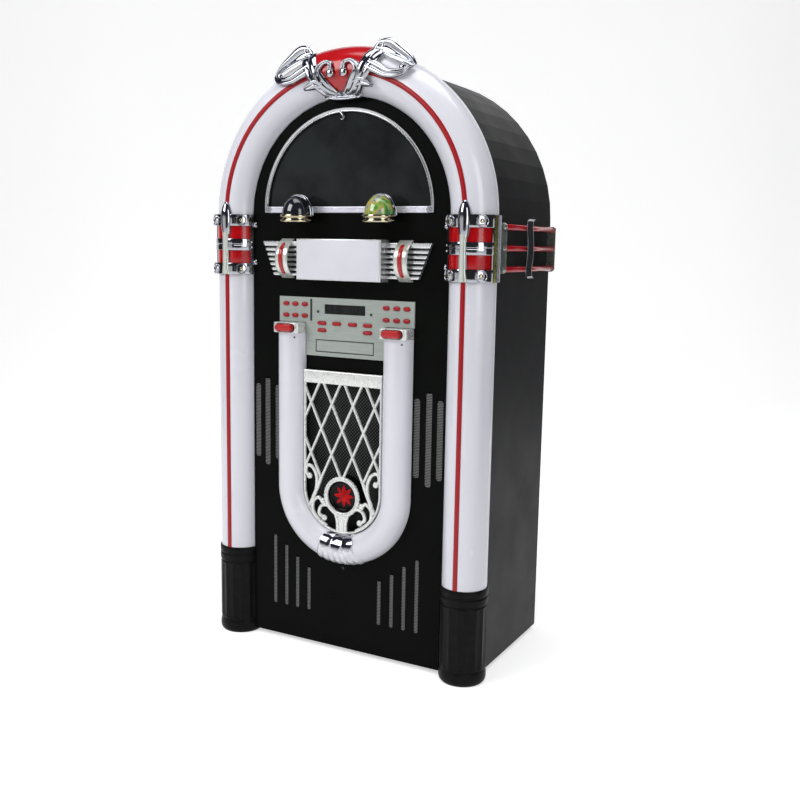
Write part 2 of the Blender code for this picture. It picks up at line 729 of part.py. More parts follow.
def make_clamp(name, side):
    """The chrome frame of a clamp: three bands, uprights, four round sockets and a pointed strip."""
    inner = around(TUBE_RADIUS + GAP + SLEEVE_THICKNESS + GAP)
    outer = inner + CLAMP_THICKNESS
    middle = (CLAMP_BOTTOM + CLAMP_TOP) / 2
    levels = (CLAMP_BOTTOM, CLAMP_BOTTOM + CLAMP_BAND, middle - CLAMP_BAND / 2, middle + CLAMP_BAND / 2,
              CLAMP_TOP - CLAMP_BAND, CLAMP_TOP)
    present = np.zeros((len(levels) - 1, len(CLAMP_STOPS) - 1), dtype=bool)
    present[::2] = True
    present[:, CLAMP_SOLID] = True
    grids = [wrapped(radius, CLAMP_STOPS, levels, side) for radius in (outer, inner)]
    frame = slab(name, grids[0], grids[1], present, "chrome")
    half = BULLET_WIDTH / 2
    back = PILLAR_Y - inner - GAP
    front = PILLAR_Y - outer - BULLET_PROUD
    rings = []
    centre = side * PILLAR_X
    stops = [(CLAMP_BOTTOM, 1.0)]
    for height, share in BULLET_TIP_SHARES:
        stops.append((CLAMP_TOP + BULLET_TIP * height, share))
    for z, share in stops:
        reach = half * share
        face = reach * BULLET_FACE_SHARE
        tip = back + (front - back) * share
        rings.append([(centre - reach, back, z), (centre + reach, back, z), (centre + face, tip, z),
                      (centre - face, tip, z)])
    tools = [loft("bullet", rings, "chrome")]
    for z in (CLAMP_BOTTOM + CLAMP_BAND / 2, CLAMP_TOP - CLAMP_BAND / 2):
        for turn in SOCKET_TURNS:
            tools.append(socket_boss(inner + GAP, outer, z, side, math.radians(turn)))
    return soften(combine(frame, tools, "UNION"))


def socket_boss(start, outer, z, side, turn):
    """A round socket that stands out of a clamp's band, at an angle from outward."""
    outward = np.array([side * math.cos(turn), -math.sin(turn), 0.0])
    across = np.array([-outward[1], outward[0], 0.0])
    centre = np.array([side * PILLAR_X, PILLAR_Y, z])
    rings = []
    rim = outer + SOCKET_PROUD
    rim_radius = SOCKET_RADIUS * SOCKET_TAPER_SHARE
    stops = ((start, SOCKET_RADIUS), (rim, rim_radius), (rim, SOCKET_BORE), (outer, SOCKET_BORE))
    for reach, radius in stops:
        loop = []
        for index in range(SOCKET_SIDES):
            spin = math.tau * index / SOCKET_SIDES
            flat = across * math.cos(spin) + np.array([0.0, 0.0, math.sin(spin)])
            loop.append(centre + outward * reach + flat * radius)
        rings.append(loop)
    return loft("socket_boss", rings, "chrome")


def make_sleeve(name, side):
    """The red sleeve that shows between a clamp's bands."""
    turns = np.linspace(CLAMP_STOPS[0], CLAMP_STOPS[-1], SLEEVE_STEPS + 1)
    levels = (CLAMP_BOTTOM + SLEEVE_INSET, CLAMP_TOP - SLEEVE_INSET)
    inner = wrapped(TUBE_RADIUS + GAP, turns, levels, side)
    outer = wrapped(TUBE_RADIUS + GAP + SLEEVE_THICKNESS, turns, levels, side)
    return soften(slab(name, outer, inner, np.ones((1, len(turns) - 1), dtype=bool), "red_gloss"))


def rod(name, x, z, front, back, radius, sides):
    """A round bar along Y."""
    turns = np.arange(sides) * math.tau / sides
    rings = [[(x + radius * math.cos(turn), y, z + radius * math.sin(turn)) for turn in turns]
             for y in (front, back)]
    return loft(name, rings, "chrome")


def make_side_rail(name, side):
    """Three rods between two brackets, with a bowed strap across them."""
    wall_x = CABINET_WIDTH / 2 + GAP
    rod_x = side * (CABINET_WIDTH / 2 + ROD_STANDOFF)
    clamp_edge = PILLAR_Y + (TUBE_RADIUS + CLAMP_THICKNESS) * math.sin(math.radians(CLAMP_STOPS[-1]))
    front = clamp_edge + BRACKET_WIDTH / 2 + RAIL_FRONT_SETBACK
    back = BACK_Y - RAIL_BACK_INSET
    half_height = ROD_PITCH + BRACKET_OVERLAP
    lobe = BRACKET_OVERLAP
    rods = []
    heights = [ROD_MIDDLE_Z + step * ROD_PITCH for step in (-1, 0, 1)]
    for z in heights:
        end = back + BRACKET_WIDTH - GAP * 2
        rods.append(rod("rail_rod", rod_x, z, front + GAP * 2, end, ROD_RADIUS, ROD_SIDES))
    tools = []
    for start in (front, back):
        edges = sorted((side * wall_x, rod_x))
        low = (edges[0], start, ROD_MIDDLE_Z - half_height)
        high = (edges[1], start + BRACKET_WIDTH, ROD_MIDDLE_Z + half_height)
        tools.append(block("rail_bracket", low, high, "chrome"))
        for z in heights:
            tools.append(rod("rail_boss", rod_x, z, start + GAP, start + BRACKET_WIDTH - GAP, lobe, ROD_SIDES))
    middle = front + (back - front) * STRAP_START_SHARE
    reach = half_height + STRAP_OVERHANG / 2
    path = []
    angle = 0.0 if side > 0 else 180.0
    for share in np.linspace(-1, 1, BOW_STEPS + 1):
        out = ROD_STANDOFF + STRAP_CLEARANCE + STRAP_BOW * (1 - share ** 2)
        seat = max(abs(share) - STRAP_SEAT_SHARE, 0) / (1 - STRAP_SEAT_SHARE)
        out -= (out - STRAP_THICKNESS / 2 - GAP) * seat
        path.append((side * (CABINET_WIDTH / 2 + out), ROD_MIDDLE_Z + share * reach, angle))
    half = STRAP_THICKNESS / 2
    section = [(-half, middle), (half, middle), (half, middle + STRAP_WIDTH), (-half, middle + STRAP_WIDTH)]
    strap = sweep(name, path, section, "chrome")
    return soften(combine(strap, rods + tools, "UNION"))


def make_window():
    """The smoked glass in its recess, and the silver rim with its sill."""
    inner = WINDOW_RADIUS - TRIM_WIDTH
    glass = window_outline(WINDOW_RADIUS - TRIM_WIDTH / 2 - 3 * GAP)
    glass = [(x, z + GAP) for x, z in glass]
    back = PANEL_Y + WINDOW_RECESS - GAP
    soften(prism("window_glass", glass, back - GLASS_THICKNESS, back, "smoked_glass"))
    rim = window_outline(WINDOW_RADIUS)
    rim[:1] = [(WINDOW_RADIUS, WINDOW_Z - SILL_HEIGHT / 2), rim[0]]
    rim.append((-WINDOW_RADIUS, WINDOW_Z - SILL_HEIGHT / 2))
    trim = prism("window_trim", rim, PANEL_Y - TRIM_PROUD, PANEL_Y - GAP, "chrome")
    hole = [(x, z) for x, z, _ in arc(0, WINDOW_Z, inner, 0, 180, WINDOW_STEPS)]
    hole = [(x, max(z, WINDOW_Z + SILL_HEIGHT / 2)) for x, z in hole]
    hole = [point for index, point in enumerate(hole) if index == 0 or point != hole[index - 1]]
    cutter = prism("rim_cutter", hole, PANEL_Y - TRIM_PROUD - OVERRUN, PANEL_Y + OVERRUN, "chrome")
    soften(combine(trim, [cutter], "DIFFERENCE"))


def make_lamp(tag, side):
    """A dome lamp on a two-step base, with a grooved hoop over its middle."""
    x = side * LAMP_X
    y = LAMP_RADIUS - BACK_Y
    base_z = BASE_TOP
    turns = np.arange(LAMP_SIDES) * math.tau / LAMP_SIDES
    rings = []
    dome_z = base_z + GAP
    for step in range(LAMP_RINGS):
        tilt = math.radians(LAMP_TILT) * step / (LAMP_RINGS - 1)
        radius = (LAMP_RADIUS - BASE_WAIST) * math.cos(tilt)
        z = dome_z + (LAMP_HEIGHT - HOOP_THICKNESS) * math.sin(tilt)
        rings.append([(x + radius * math.cos(turn), y + radius * math.sin(turn), z) for turn in turns])
    soften(loft(f"lamp_dome_{tag}", rings, "smoked_glass"))
    rings = []
    low = base_z - 2 * BASE_TIER - BASE_STEP
    for z, inset in ((low, BASE_WAIST), (low + BASE_TIER / 2, 0), (low + BASE_TIER, 0),
                     (low + BASE_TIER, BASE_WAIST), (base_z - BASE_TIER, BASE_WAIST), (base_z - BASE_TIER, 0),
                     (base_z, 0)):
        radius = LAMP_RADIUS - inset
        rings.append([(x + radius * math.cos(turn), y + radius * math.sin(turn), z) for turn in turns])
    base = loft(f"lamp_base_{tag}", rings, "champagne")
    arm_low = (x - BASE_ARM / 2, y, low + GAP)
    arm_high = (x + BASE_ARM / 2, PANEL_Y - GAP, base_z - GAP)
    arm = block("lamp_arm", arm_low, arm_high, "champagne")
    half = HOOP_WIDTH / 2
    floor = HOOP_THICKNESS * HOOP_FLOOR_SHARE
    section = [(-half, 0), (half, 0), (half, HOOP_THICKNESS), (HOOP_GROOVE, HOOP_THICKNESS), (0, floor),
               (-HOOP_GROOVE, HOOP_THICKNESS), (-half, HOOP_THICKNESS)]
    hoop = []
    flat_share = math.cos(math.pi / LAMP_SIDES)
    for step in range(LAMP_SIDES // 2 + 1):
        turn = math.pi * step / (LAMP_SIDES // 2)
        loop = []
        for across, out in section:
            reach = (LAMP_RADIUS - BASE_WAIST) / flat_share + 3 * GAP + out
            rise = (LAMP_HEIGHT - HOOP_THICKNESS) / flat_share + 3 * GAP + out
            z = base_z - GAP + math.sin(turn) * rise
            loop.append((x + math.cos(turn) * reach, y + across, z))
        hoop.append(loop)
    hoop = loft("lamp_hoop", hoop, "champagne")
    soften(combine(base, [arm, hoop], "UNION"))


def make_wing(name, side):
    """A louvred wing with a bowed strap and a red bar."""
    pitch = (WING_TOP - WING_BOTTOM) / LOUVRES
    slot = pitch * LOUVRE_GAP_SHARE
    back = PANEL_Y - GAP
    front = PANEL_Y - WING_PROUD
    web = PANEL_Y - WING_PLATE
    profile = [(back, WING_BOTTOM)]
    for index in range(LOUVRES):
        z = WING_BOTTOM + index * pitch
        profile += [(front, z), (front, z + pitch - slot)]
        if index < LOUVRES - 1:
            profile += [(web, z + pitch - slot), (web, z + pitch)]
    profile[-1] = (front, WING_TOP)
    profile.append((back, WING_TOP))
    rings = []
    for share in (0, 1):
        loop = []
        for y, z in profile:
            rise = (z - WING_BOTTOM) / (WING_TOP - WING_BOTTOM)
            outer = WING_BOTTOM_X + (WING_TOP_X - WING_BOTTOM_X) * rise
            inner = PLATE_HALF + GAP
            loop.append((side * (inner + (outer - inner) * share), y, z))
        rings.append(loop)
    wing = loft(name, rings, "chrome")
    middle_z = (WING_TOP + WING_BOTTOM) / 2
    strap = bowed_bar("wing_strap", side * STRAP_X, middle_z, WING_STRAP_HEIGHT / 2, WING_STRAP_WIDTH,
                      WING_STRAP_PROUD, WING_STRAP_THICKNESS)
    bar = bowed_bar("wing_bar", side * STRAP_X, middle_z, WING_STRAP_HEIGHT * RED_BAR_SHARE, RED_BAR_WIDTH,
                    WING_STRAP_PROUD + RED_BAR_PROUD, WING_STRAP_THICKNESS)
    return soften(combine(wing, [strap, bar], "UNION"))


def bowed_bar(name, middle_x, middle_z, half_height, width, proud, thickness):
    """An upright bar that bows forward from the front panel."""
    rings = []
    back = PANEL_Y - GAP * 2
    for share in np.linspace(-1, 1, BOW_STEPS + 1):
        bow = 1 - abs(share) ** BOW_POWER
        front = back - thickness - (proud - thickness) * bow
        rear = front + thickness + (back - front - thickness) * abs(share) ** BOW_REAR_POWER
        z = middle_z + share * half_height
        half = width / 2
        face = half * BAR_FACE_SHARE
        rings.append([(middle_x - half, rear, z), (middle_x + half, rear, z),
                      (middle_x + face, front, z), (middle_x - face, front, z)])
    return loft(name, rings, "chrome")


def round_edges(made):
    """Round off a block's edges."""
    bevel = made.modifiers.new("edges", "BEVEL")
    bevel.width = PLATE_EDGE
    bevel.segments = EDGE_STEPS
    bake(made)
    return made


def make_name_plate():
    """The bare plate between the wings, with softened front edges."""
    low = (-PLATE_HALF, PANEL_Y - PLATE_PROUD, PLATE_BOTTOM)
    high = (PLATE_HALF, PANEL_Y - GAP, PLATE_BOTTOM + PLATE_HEIGHT)
    return soften(round_edges(block("name_plate", low, high, "plate_white")))


def u_path(half, top, steps=U_STEPS):
    """Down one leg, round the bottom and up the other: (x, z, outward angle)."""
    return [(-half, top, 180.0), *arc(0, U_CENTRE_Z, half, 180, 360, steps), (half, top, 360.0)]


def half_round(radius, back):
    """A half-round section that stands on the front panel."""
    turns = np.linspace(0, math.pi, U_SECTION_STEPS + 1)
    return [(radius * math.cos(turn), back - radius * math.sin(turn)) for turn in turns]


def make_u_tube():
    """The white half-round light tube in a U, with the ribbed shell ornament at its foot."""
    back = PANEL_Y - GAP
    tube = sweep("u_tube", u_path(U_HALF, U_TOP), half_round(U_RADIUS, back), "tube_white")
    ribs = []
    count = SHELL_RIBS * 2
    for index in range(count + 1):
        angle = 270 + SHELL_HALF_ANGLE * (2 * index / count - 1)
        ribs.append((math.radians(angle), (index % 2) * SHELL_RIB_DEPTH, angle))
    rings = []
    for turn, dip, angle in ribs:
        reach = U_RADIUS + SHELL_PROUD - dip
        loop = []
        for out, y in half_round(reach, back - GAP):
            out = max(out, -U_RADIUS)
            loop.append(((U_HALF + out) * math.cos(turn), y, U_CENTRE_Z + (U_HALF + out) * math.sin(turn)))
        rings.append(loop)
    shell = loft("u_shell", rings, "chrome")
    return soften(combine(tube, [shell], "UNION"))


def make_cap(name, side):
    """The end cap of a leg, with a red jewel on its face."""
    low = (side * U_HALF - U_RADIUS, PANEL_Y - CAP_PROUD, U_TOP + GAP)
    high = (side * U_HALF + U_RADIUS, PANEL_Y - GAP, U_TOP + GAP + CAP_HEIGHT)
    cap = round_edges(block(name, low, high, "silver"))
    jewel_z = U_TOP + GAP + CAP_HEIGHT / 2
    rings = []
    for proud, inset in ((-JEWEL_PROUD / 4, 0), (JEWEL_PROUD / 2, 0), (JEWEL_PROUD, JEWEL_HEIGHT / 4)):
        length = JEWEL_LENGTH - 2 * inset
        outline = oval_outline(side * U_HALF, jewel_z, length, JEWEL_HEIGHT - 2 * inset, JEWEL_STEPS)
        rings.append([(x, PANEL_Y - CAP_PROUD - proud, z) for x, z in outline])
    return soften(combine(cap, [loft("jewel", rings, "red_gloss")], "UNION"))


def oval_outline(middle_x, middle_z, width, height, steps):
    """A lying slot shape with round ends."""
    radius = height / 2
    reach = width / 2 - radius
    right = arc(middle_x + reach, middle_z, radius, -90, 90, steps)
    left = arc(middle_x - reach, middle_z, radius, 90, 270, steps)
    return [(x, z) for x, z, _ in right + left]


def flat_rib(name, points, width, front, back):
    """A flat rib along (x, z) points, narrower at its front."""
    points = np.asarray(points)
    ahead = np.gradient(points, axis=0)
    ahead /= np.linalg.norm(ahead, axis=1)[:, None]
    across = np.column_stack([-ahead[:, 1], ahead[:, 0]]) * width / 2
    rings = []
    for (x, z), (side_x, side_z) in zip(points, across):
        face_x, face_z = side_x * RIB_FACE_SHARE, side_z * RIB_FACE_SHARE
        rings.append([(x - side_x, back, z - side_z), (x + side_x, back, z + side_z),
                      (x + face_x, front, z + face_z), (x - face_x, front, z - face_z)])
    return loft(name, rings, "silver")


def lattice_lines():
    """Ends of the diagonal bars, clipped to the grille's sides, its head and its scrolls."""
    lean = LATTICE_PITCH_X / LATTICE_PITCH_Z
    limit = GRILLE_HALF - LATTICE_RIB / 2
    top = GRILLE_TOP - GRILLE_BAR / 2
    lines = []
    for slope in (lean, -lean):
        for index in range(-LATTICE_LINES, LATTICE_LINES + 1):
            zs = [LATTICE_BOTTOM, top]
            for edge in (-limit, limit):
                zs.append(LATTICE_MIDDLE_Z + (edge - index * LATTICE_PITCH_X) / slope)
            low, high = sorted(zs[2:])
            low = max(low, LATTICE_BOTTOM)
            high = min(high, top)
            if high - low < GRILLE_BAR:
                continue
            ends = [(index * LATTICE_PITCH_X + slope * (z - LATTICE_MIDDLE_Z), z) for z in (low, high)]
            lines.append((slope > 0, ends))
    return lines


def make_grille():
    """The cast grille: head bar, border, diamond lattice, medallion ring and scrolls in one piece."""
    front = PANEL_Y - GRILLE_PROUD
    back = front + GRILLE_THICKNESS
    low = (-GRILLE_HALF, front, GRILLE_TOP - GRILLE_BAR)
    head = block("grille", low, (GRILLE_HALF, back, GRILLE_TOP), "silver")
    half = LATTICE_RIB / 2
    section = [(-half, back - LAYER), (half, back - LAYER), (half, front + LAYER), (-half, front + LAYER)]
    border = u_path(GRILLE_HALF - half, GRILLE_TOP - GRILLE_BAR / 2, GRILLE_STEPS)
    tools = [sweep("grille_border", border, section, "silver")]
    for rising, ends in lattice_lines():
        lift = LAYER * (RISING_LAYER if rising else FALLING_LAYER)
        tools.append(flat_rib("lattice_bar", ends, LATTICE_RIB, front + lift, back - LAYER * 2 - lift / 3))
    for side in (-1, 1):
        tools += make_scrolls(side, front, back)
    combine(head, tools, "UNION")
    depth = LAYER * RING_LAYER
    ring = rod("medallion_ring", 0, MEDALLION_Z, front - depth, back - depth, RING_OUTER, ROUND_SIDES)
    combine(head, [ring], "UNION")
    bore = rod("medallion_bore", 0, MEDALLION_Z, front - OVERRUN, back + OVERRUN, RING_INNER, ROUND_SIDES)
    combine(head, [bore], "DIFFERENCE")
    return soften(head)


def make_scrolls(side, front, back):
    """The scrolls beside the medallion ring, each curl with a ball at its tip."""
    made = []
    for index, shares in enumerate(SCROLL_SHARES):
        points = [(side * GRILLE_HALF * x, MEDALLION_Z + GRILLE_HALF * z) for x, z in shares]
        path = smooth_path(points, SCROLL_STEPS)
        lift = LAYER * (SCROLL_LAYER + index * SCROLL_LAYER_STEP + (side + 1) / 2 * SIDE_LAYER_STEP)
        made.append(flat_rib("scroll", path, SCROLL_RIB, front + lift, back - LAYER - lift / 5))
        if index:
            x, z = points[0]
            made.append(rod("scroll_ball", x, z, front - LAYER, back - LAYER * 4, SCROLL_BALL, BALL_SIDES))
    return made


def make_medallion():
    """A black dish with a raised eight-pointed star, standing behind the grille's ring."""
    back = PANEL_Y + WALL
    front = PANEL_Y - GRILLE_PROUD + GRILLE_THICKNESS + GAP
    floor = front + WALL / 2
    dish = rod("medallion", 0, MEDALLION_Z, front, back, RING_OUTER - GAP, ROUND_SIDES)
    hollow = rod("dish_cutter", 0, MEDALLION_Z, front - OVERRUN, floor, RING_INNER, ROUND_SIDES)
    combine(dish, [hollow], "DIFFERENCE")
    star = []
    for index in range(2 * STAR_POINTS):
        turn = math.pi * index / STAR_POINTS
        reach = RING_INNER * STAR_RADIUS_SHARES[index % 2]
        star.append((reach * math.sin(turn), MEDALLION_Z + reach * math.cos(turn)))
    raised = prism("star", star, floor - STAR_RISE, floor + STAR_RISE, "red_gloss")
    return soften(combine(dish, [raised], "UNION"))


def make_speaker():
    """The woven metal sheet behind the front board, and the loudspeaker behind it."""
    back = PANEL_Y + WALL + GAP
    half = BOARD_HALF - UPPER_VENTS[-1][0] + VENT_WIDTH / 2
    low = (-half, back, LOWER_VENTS[0][1] - MESH_MARGIN)
    high = (half, back + MESH_THICKNESS, OPENING_TOP + MESH_MARGIN)
    block("speaker_mesh", low, high, "dark_mesh")
    face = back + MESH_THICKNESS + GAP
    turns = np.arange(ROUND_SIDES) * math.tau / ROUND_SIDES
    rings = []
    stops = ((MAGNET_RADIUS, SPEAKER_DEPTH + MAGNET_DEPTH), (MAGNET_RADIUS, SPEAKER_DEPTH),
             (SPEAKER_RADIUS - SPEAKER_RIM, SPEAKER_RIM), (SPEAKER_RADIUS, SPEAKER_RIM),
             (SPEAKER_RADIUS, 0), (SPEAKER_RADIUS - CONE_LIP, 0),
             (MAGNET_RADIUS / 2, SPEAKER_DEPTH - SPEAKER_RIM))
    for reach, depth in stops:
        rings.append([(reach * math.cos(turn), face + depth, SPEAKER_Z + reach * math.sin(turn))
                      for turn in turns])
    soften(loft("loudspeaker", rings, "paper_cone"))


def button_places():
    """Name, middle and oval size of each push button."""
    places = []
    for tag, side in (("a", -1), ("b", 1)):
        number = 0
        for drop in SMALL_ROW_DROPS:
            for inset in SMALL_COLUMN_INSETS:
                number += 1
                x = side * (CONTROL_HALF - inset)
                places.append((f"button_{tag}{number}", x, CONTROL_TOP - drop, SMALL_BUTTON))
    near, far = LONG_COLUMNS
    upper, lower = [CONTROL_TOP - drop for drop in LONG_ROW_DROPS]
    long_places = ((-far, upper), (-near, upper), (near, upper), (far, upper), (-far, lower), (far, lower))
    for number, (x, z) in enumerate(long_places, 1):
        places.append((f"button_c{number}", x, z, LONG_BUTTON))
    return places


def button_ring(x, z, size, grow, y):
    """One loop of a button's oval at a depth."""
    outline = oval_outline(x, z, size[0] + 2 * grow, size[1] + 2 * grow, BUTTON_END_STEPS)
    return [(px, y, pz) for px, pz in outline]


def make_buttons():
    """Push buttons with a flange behind the panel that keeps them in."""
    face = PANEL_Y - CONTROL_PROUD
    rest = PANEL_Y + GAP
    for name, x, z, size in button_places():
        rings = [
            button_ring(x, z, size, -BUTTON_CLEARANCE, face - BUTTON_PROUD),
            button_ring(x, z, size, 0, rest),
            button_ring(x, z, size, FLANGE_OVERHANG, rest),
            button_ring(x, z, size, FLANGE_OVERHANG, rest + BUTTON_FLANGE),
        ]
        made = soften(loft(name, rings, "red_gloss"))
        centre = made.data.copy()
        middle_y = (face - BUTTON_PROUD + rest + BUTTON_FLANGE) / 2
        for vertex in centre.vertices:
            vertex.co.x -= x
            vertex.co.y -= middle_y
            vertex.co.z -= z
        made.data = centre
        made.location = (x, middle_y, z)


def make_control_panel():
    """The silver plate with its button holes, display window and tray slot."""
    front = PANEL_Y - CONTROL_PROUD
    back = PANEL_Y - GAP
    plate = prism("control_panel", control_outline(0), front, back, "silver")
    cutters = []
    for _, x, z, size in button_places():
        rings = [button_ring(x, z, size, BUTTON_CLEARANCE, y) for y in (front - OVERRUN, back + OVERRUN)]
        cutters.append(loft("button_hole", rings, "chrome"))
    half_width = TRAY_FACE_WIDTH / 2 + TRAY_CLEARANCE
    half_height = TRAY_FACE_HEIGHT / 2 + TRAY_CLEARANCE
    cutters.append(block("tray_slot", (-half_width, front - OVERRUN, TRAY_MIDDLE_Z - half_height),
                         (half_width, back + OVERRUN, TRAY_MIDDLE_Z + half_height), "chrome"))
    cutters.append(block("display_cutter", (-DISPLAY_HALF, front - OVERRUN, DISPLAY_BOTTOM),
                         (DISPLAY_HALF, back + OVERRUN, DISPLAY_TOP), "chrome"))
    soften(combine(plate, cutters, "DIFFERENCE"))
    lens_low = (-DISPLAY_HALF + GAP, front + DISPLAY_RECESS, DISPLAY_BOTTOM + GAP)
    block("display_lens", lens_low, (DISPLAY_HALF - GAP, back, DISPLAY_TOP - GAP), "smoked_glass")
    board_front = PANEL_Y + GAP + BUTTON_FLANGE + BOARD_REST
    reach = CONTROL_HALF - CONTROL_BEARING - GAP
    board_low = (-reach, board_front, CONTROL_SHOULDER + CONTROL_BEARING + GAP)
    board_high = (reach, board_front + BOARD_THICKNESS, CONTROL_TOP - CONTROL_BEARING - GAP)
    board = block("button_board", board_low, board_high, "circuit")
    narrow = CONTROL_CENTRE_HALF - CONTROL_BEARING - GAP
    tongue_low = (-narrow, board_front, TRAY_MIDDLE_Z + DRIVE_HEIGHT / 2 + GAP)
    tongue_high = (narrow, board_front + BOARD_THICKNESS, CONTROL_TOP - CONTROL_BEARING * 2)
    combine(board, [block("board_tongue", tongue_low, tongue_high, "circuit")], "UNION")


def make_drive():
    """The disc drive's open-fronted case and the tray that slides in it."""
    half_width = TRAY_WIDTH / 2 + TRAY_CLEARANCE
    half_height = TRAY_THICKNESS / 2 + TRAY_CLEARANCE
    start = PANEL_Y + GAP
    low = (-half_width - DRIVE_WALL, start, TRAY_MIDDLE_Z - DRIVE_HEIGHT / 2)
    high = (half_width + DRIVE_WALL, start + DRIVE_DEPTH, TRAY_MIDDLE_Z + DRIVE_HEIGHT / 2)
    case = block("disc_drive", low, high, "black_plastic")
    room_low = (-half_width, start - OVERRUN, TRAY_MIDDLE_Z - half_height)
    room_high = (half_width, start + DRIVE_DEPTH - DRIVE_WALL, TRAY_MIDDLE_Z + half_height)
    combine(case, [block("drive_room", room_low, room_high, "chrome")], "DIFFERENCE")
    soften(case)
    face = PANEL_Y - CONTROL_PROUD
    tray = block("disc_tray", (-TRAY_FACE_WIDTH / 2, face, TRAY_MIDDLE_Z - TRAY_FACE_HEIGHT / 2),
                 (TRAY_FACE_WIDTH / 2, face + TRAY_FACE_THICKNESS - GAP, TRAY_MIDDLE_Z + TRAY_FACE_HEIGHT / 2),
                 "silver")
    drawer = block("drawer", (-TRAY_WIDTH / 2, face + GAP, TRAY_MIDDLE_Z - TRAY_THICKNESS / 2),
                   (TRAY_WIDTH / 2, face + TRAY_LENGTH, TRAY_MIDDLE_Z + TRAY_THICKNESS / 2), "black_plastic")
    combine(tray, [drawer], "UNION")
    top = TRAY_MIDDLE_Z + TRAY_THICKNESS / 2
    disc_y = face + DISC_SETBACK + GAP
    turns = np.arange(DISC_STEPS) * math.tau / DISC_STEPS
    tools = []
    for radius, floor in ((DISC_RADIUS, top - DISC_RECESS), (DISC_HOLE, top - TRAY_THICKNESS - OVERRUN)):
        rings = [[(radius * math.cos(turn), disc_y + radius * math.sin(turn), z) for turn in turns]
                 for z in (floor, top + OVERRUN)]
        tools.append(loft("disc_cutter", rings, "chrome"))
    soften(combine(tray, tools, "DIFFERENCE"))


def tube_front(x, z, radius):
    """How far forward the front of a ring round the arch tube reaches above a point."""
    off_centre = abs(math.hypot(x, z - SPRING_Z) - PILLAR_X)
    off_centre = min(off_centre, radius * CREST_BEND_SHARE)
    return PILLAR_Y - math.sqrt(radius ** 2 - off_centre ** 2)


def crest_leaf(name, shares, side, lift):
    """One fluted leaf of the crest, laid over the front of the arch tube."""
    base = TUBE_RADIUS + GAP + PIPING_PROUD + DOME_LIFT + DOME_THICKNESS + CREST_CLEARANCE
    path = smooth_path([(side * x * CREST_REACH, CREST_BOTTOM_Z + z * CREST_HEIGHT, width * CREST_REACH)
                        for x, z, width in shares], CREST_LEAF_STEPS)
    ahead = np.gradient(path[:, :2], axis=0)
    ahead /= np.linalg.norm(ahead, axis=1)[:, None]
    across = np.column_stack([-ahead[:, 1], ahead[:, 0]])
    rings = []
    for (x, z, width), (side_x, side_z) in zip(path, across):
        loop = []
        for reach, proud in CREST_SECTION_SHARES:
            px = x + side_x * reach * width / 2
            pz = z + side_z * reach * width / 2
            loop.append((px, tube_front(px, pz, base) - lift - proud * CREST_THICKNESS, pz))
        rings.append(loop)
    return loft(name, rings, "chrome")


def make_dome():
    """The red dome over the top of the arch."""
    half_step = math.radians(DOME_BACK_ANGLE - DOME_FRONT_ANGLE) / DOME_STEPS / 2
    inner = (TUBE_RADIUS + 2 * GAP + PIPING_PROUD) / math.cos(half_step)
    outer = inner + DOME_THICKNESS
    tilts = np.radians(np.linspace(DOME_FRONT_ANGLE, DOME_BACK_ANGLE, DOME_STEPS + 1))
    turns = np.radians(np.linspace(90 + DOME_HALF_ANGLE, 90 - DOME_HALF_ANGLE, DOME_STEPS + 1))
    grids = []
    for radius in (outer, inner):
        grid = []
        for turn in turns:
            reach = PILLAR_X + radius * np.sin(tilts)
            y = PILLAR_Y - radius * np.cos(tilts)
            grid.append(np.column_stack([reach * math.cos(turn), y, SPRING_Z + reach * math.sin(turn)]))
        grids.append(np.array(grid))
    present = np.ones((len(turns) - 1, len(tilts) - 1), dtype=bool)
    return soften(slab("crest_dome", grids[0], grids[1], present, "red_gloss"))


def make_crest():
    """The casting in front of the dome: a foot bar, and on each side a wing, a curl, a spur and a hook."""
    crest = crest_leaf("crest", CREST_BAR_SHARES, 1, 0.0)
    tools = []
    for side in (-1, 1):
        for index, shares in enumerate(CREST_LEAF_SHARES):
            lift = CREST_LAYER * (index * 2 + (side + 1) / 2 + 1)
            tools.append(crest_leaf("crest_leaf", shares, side, lift))
    return soften(combine(crest, tools, "UNION"))


def make_power():
    """The mains inlet and the rocker switch on the back board."""
    back = BACK_Y - BACK_INSET
    low = (INLET_X - INLET_WIDTH / 2, back - INLET_DEPTH, INLET_Z - INLET_HEIGHT / 2)
    high = (INLET_X + INLET_WIDTH / 2, back, INLET_Z + INLET_HEIGHT / 2)
    inlet = block("power_inlet", low, high, "black_plastic")
    half_width = INLET_BORE_WIDTH / 2
    half_height = INLET_BORE_HEIGHT / 2
    chamfer = INLET_CHAMFER
    outline = [(INLET_X + x, INLET_Z + z) for x, z in (
        (-half_width, -half_height), (half_width, -half_height), (half_width, half_height - chamfer),
        (half_width - chamfer, half_height), (-half_width + chamfer, half_height),
        (-half_width, half_height - chamfer))]
    bore = prism("inlet_bore", outline, back - INLET_BORE_DEPTH, back + OVERRUN, "chrome")
    soften(combine(inlet, [bore], "DIFFERENCE"))
    radius = SWITCH_HEIGHT / 2 - GAP * 2
    centre_y = back - SWITCH_DEPTH / 2
    half = SWITCH_WIDTH / 2 - GAP
    outline = []
    depth = SWITCH_DEPTH / 2 * SWITCH_SHARE ** 2
    height = radius * SWITCH_SHARE
    for angle in np.linspace(*SWITCH_ANGLES, SWITCH_STEPS):
        turn = math.radians(angle)
        outline.append((depth * math.cos(turn), height * math.sin(turn)))
    rings = [[(x, y, z) for y, z in outline] for x in (-half, half)]
    switch = soften(loft("power_switch", rings, "black_plastic"))
    switch.location = (SWITCH_X, centre_y, INLET_Z)


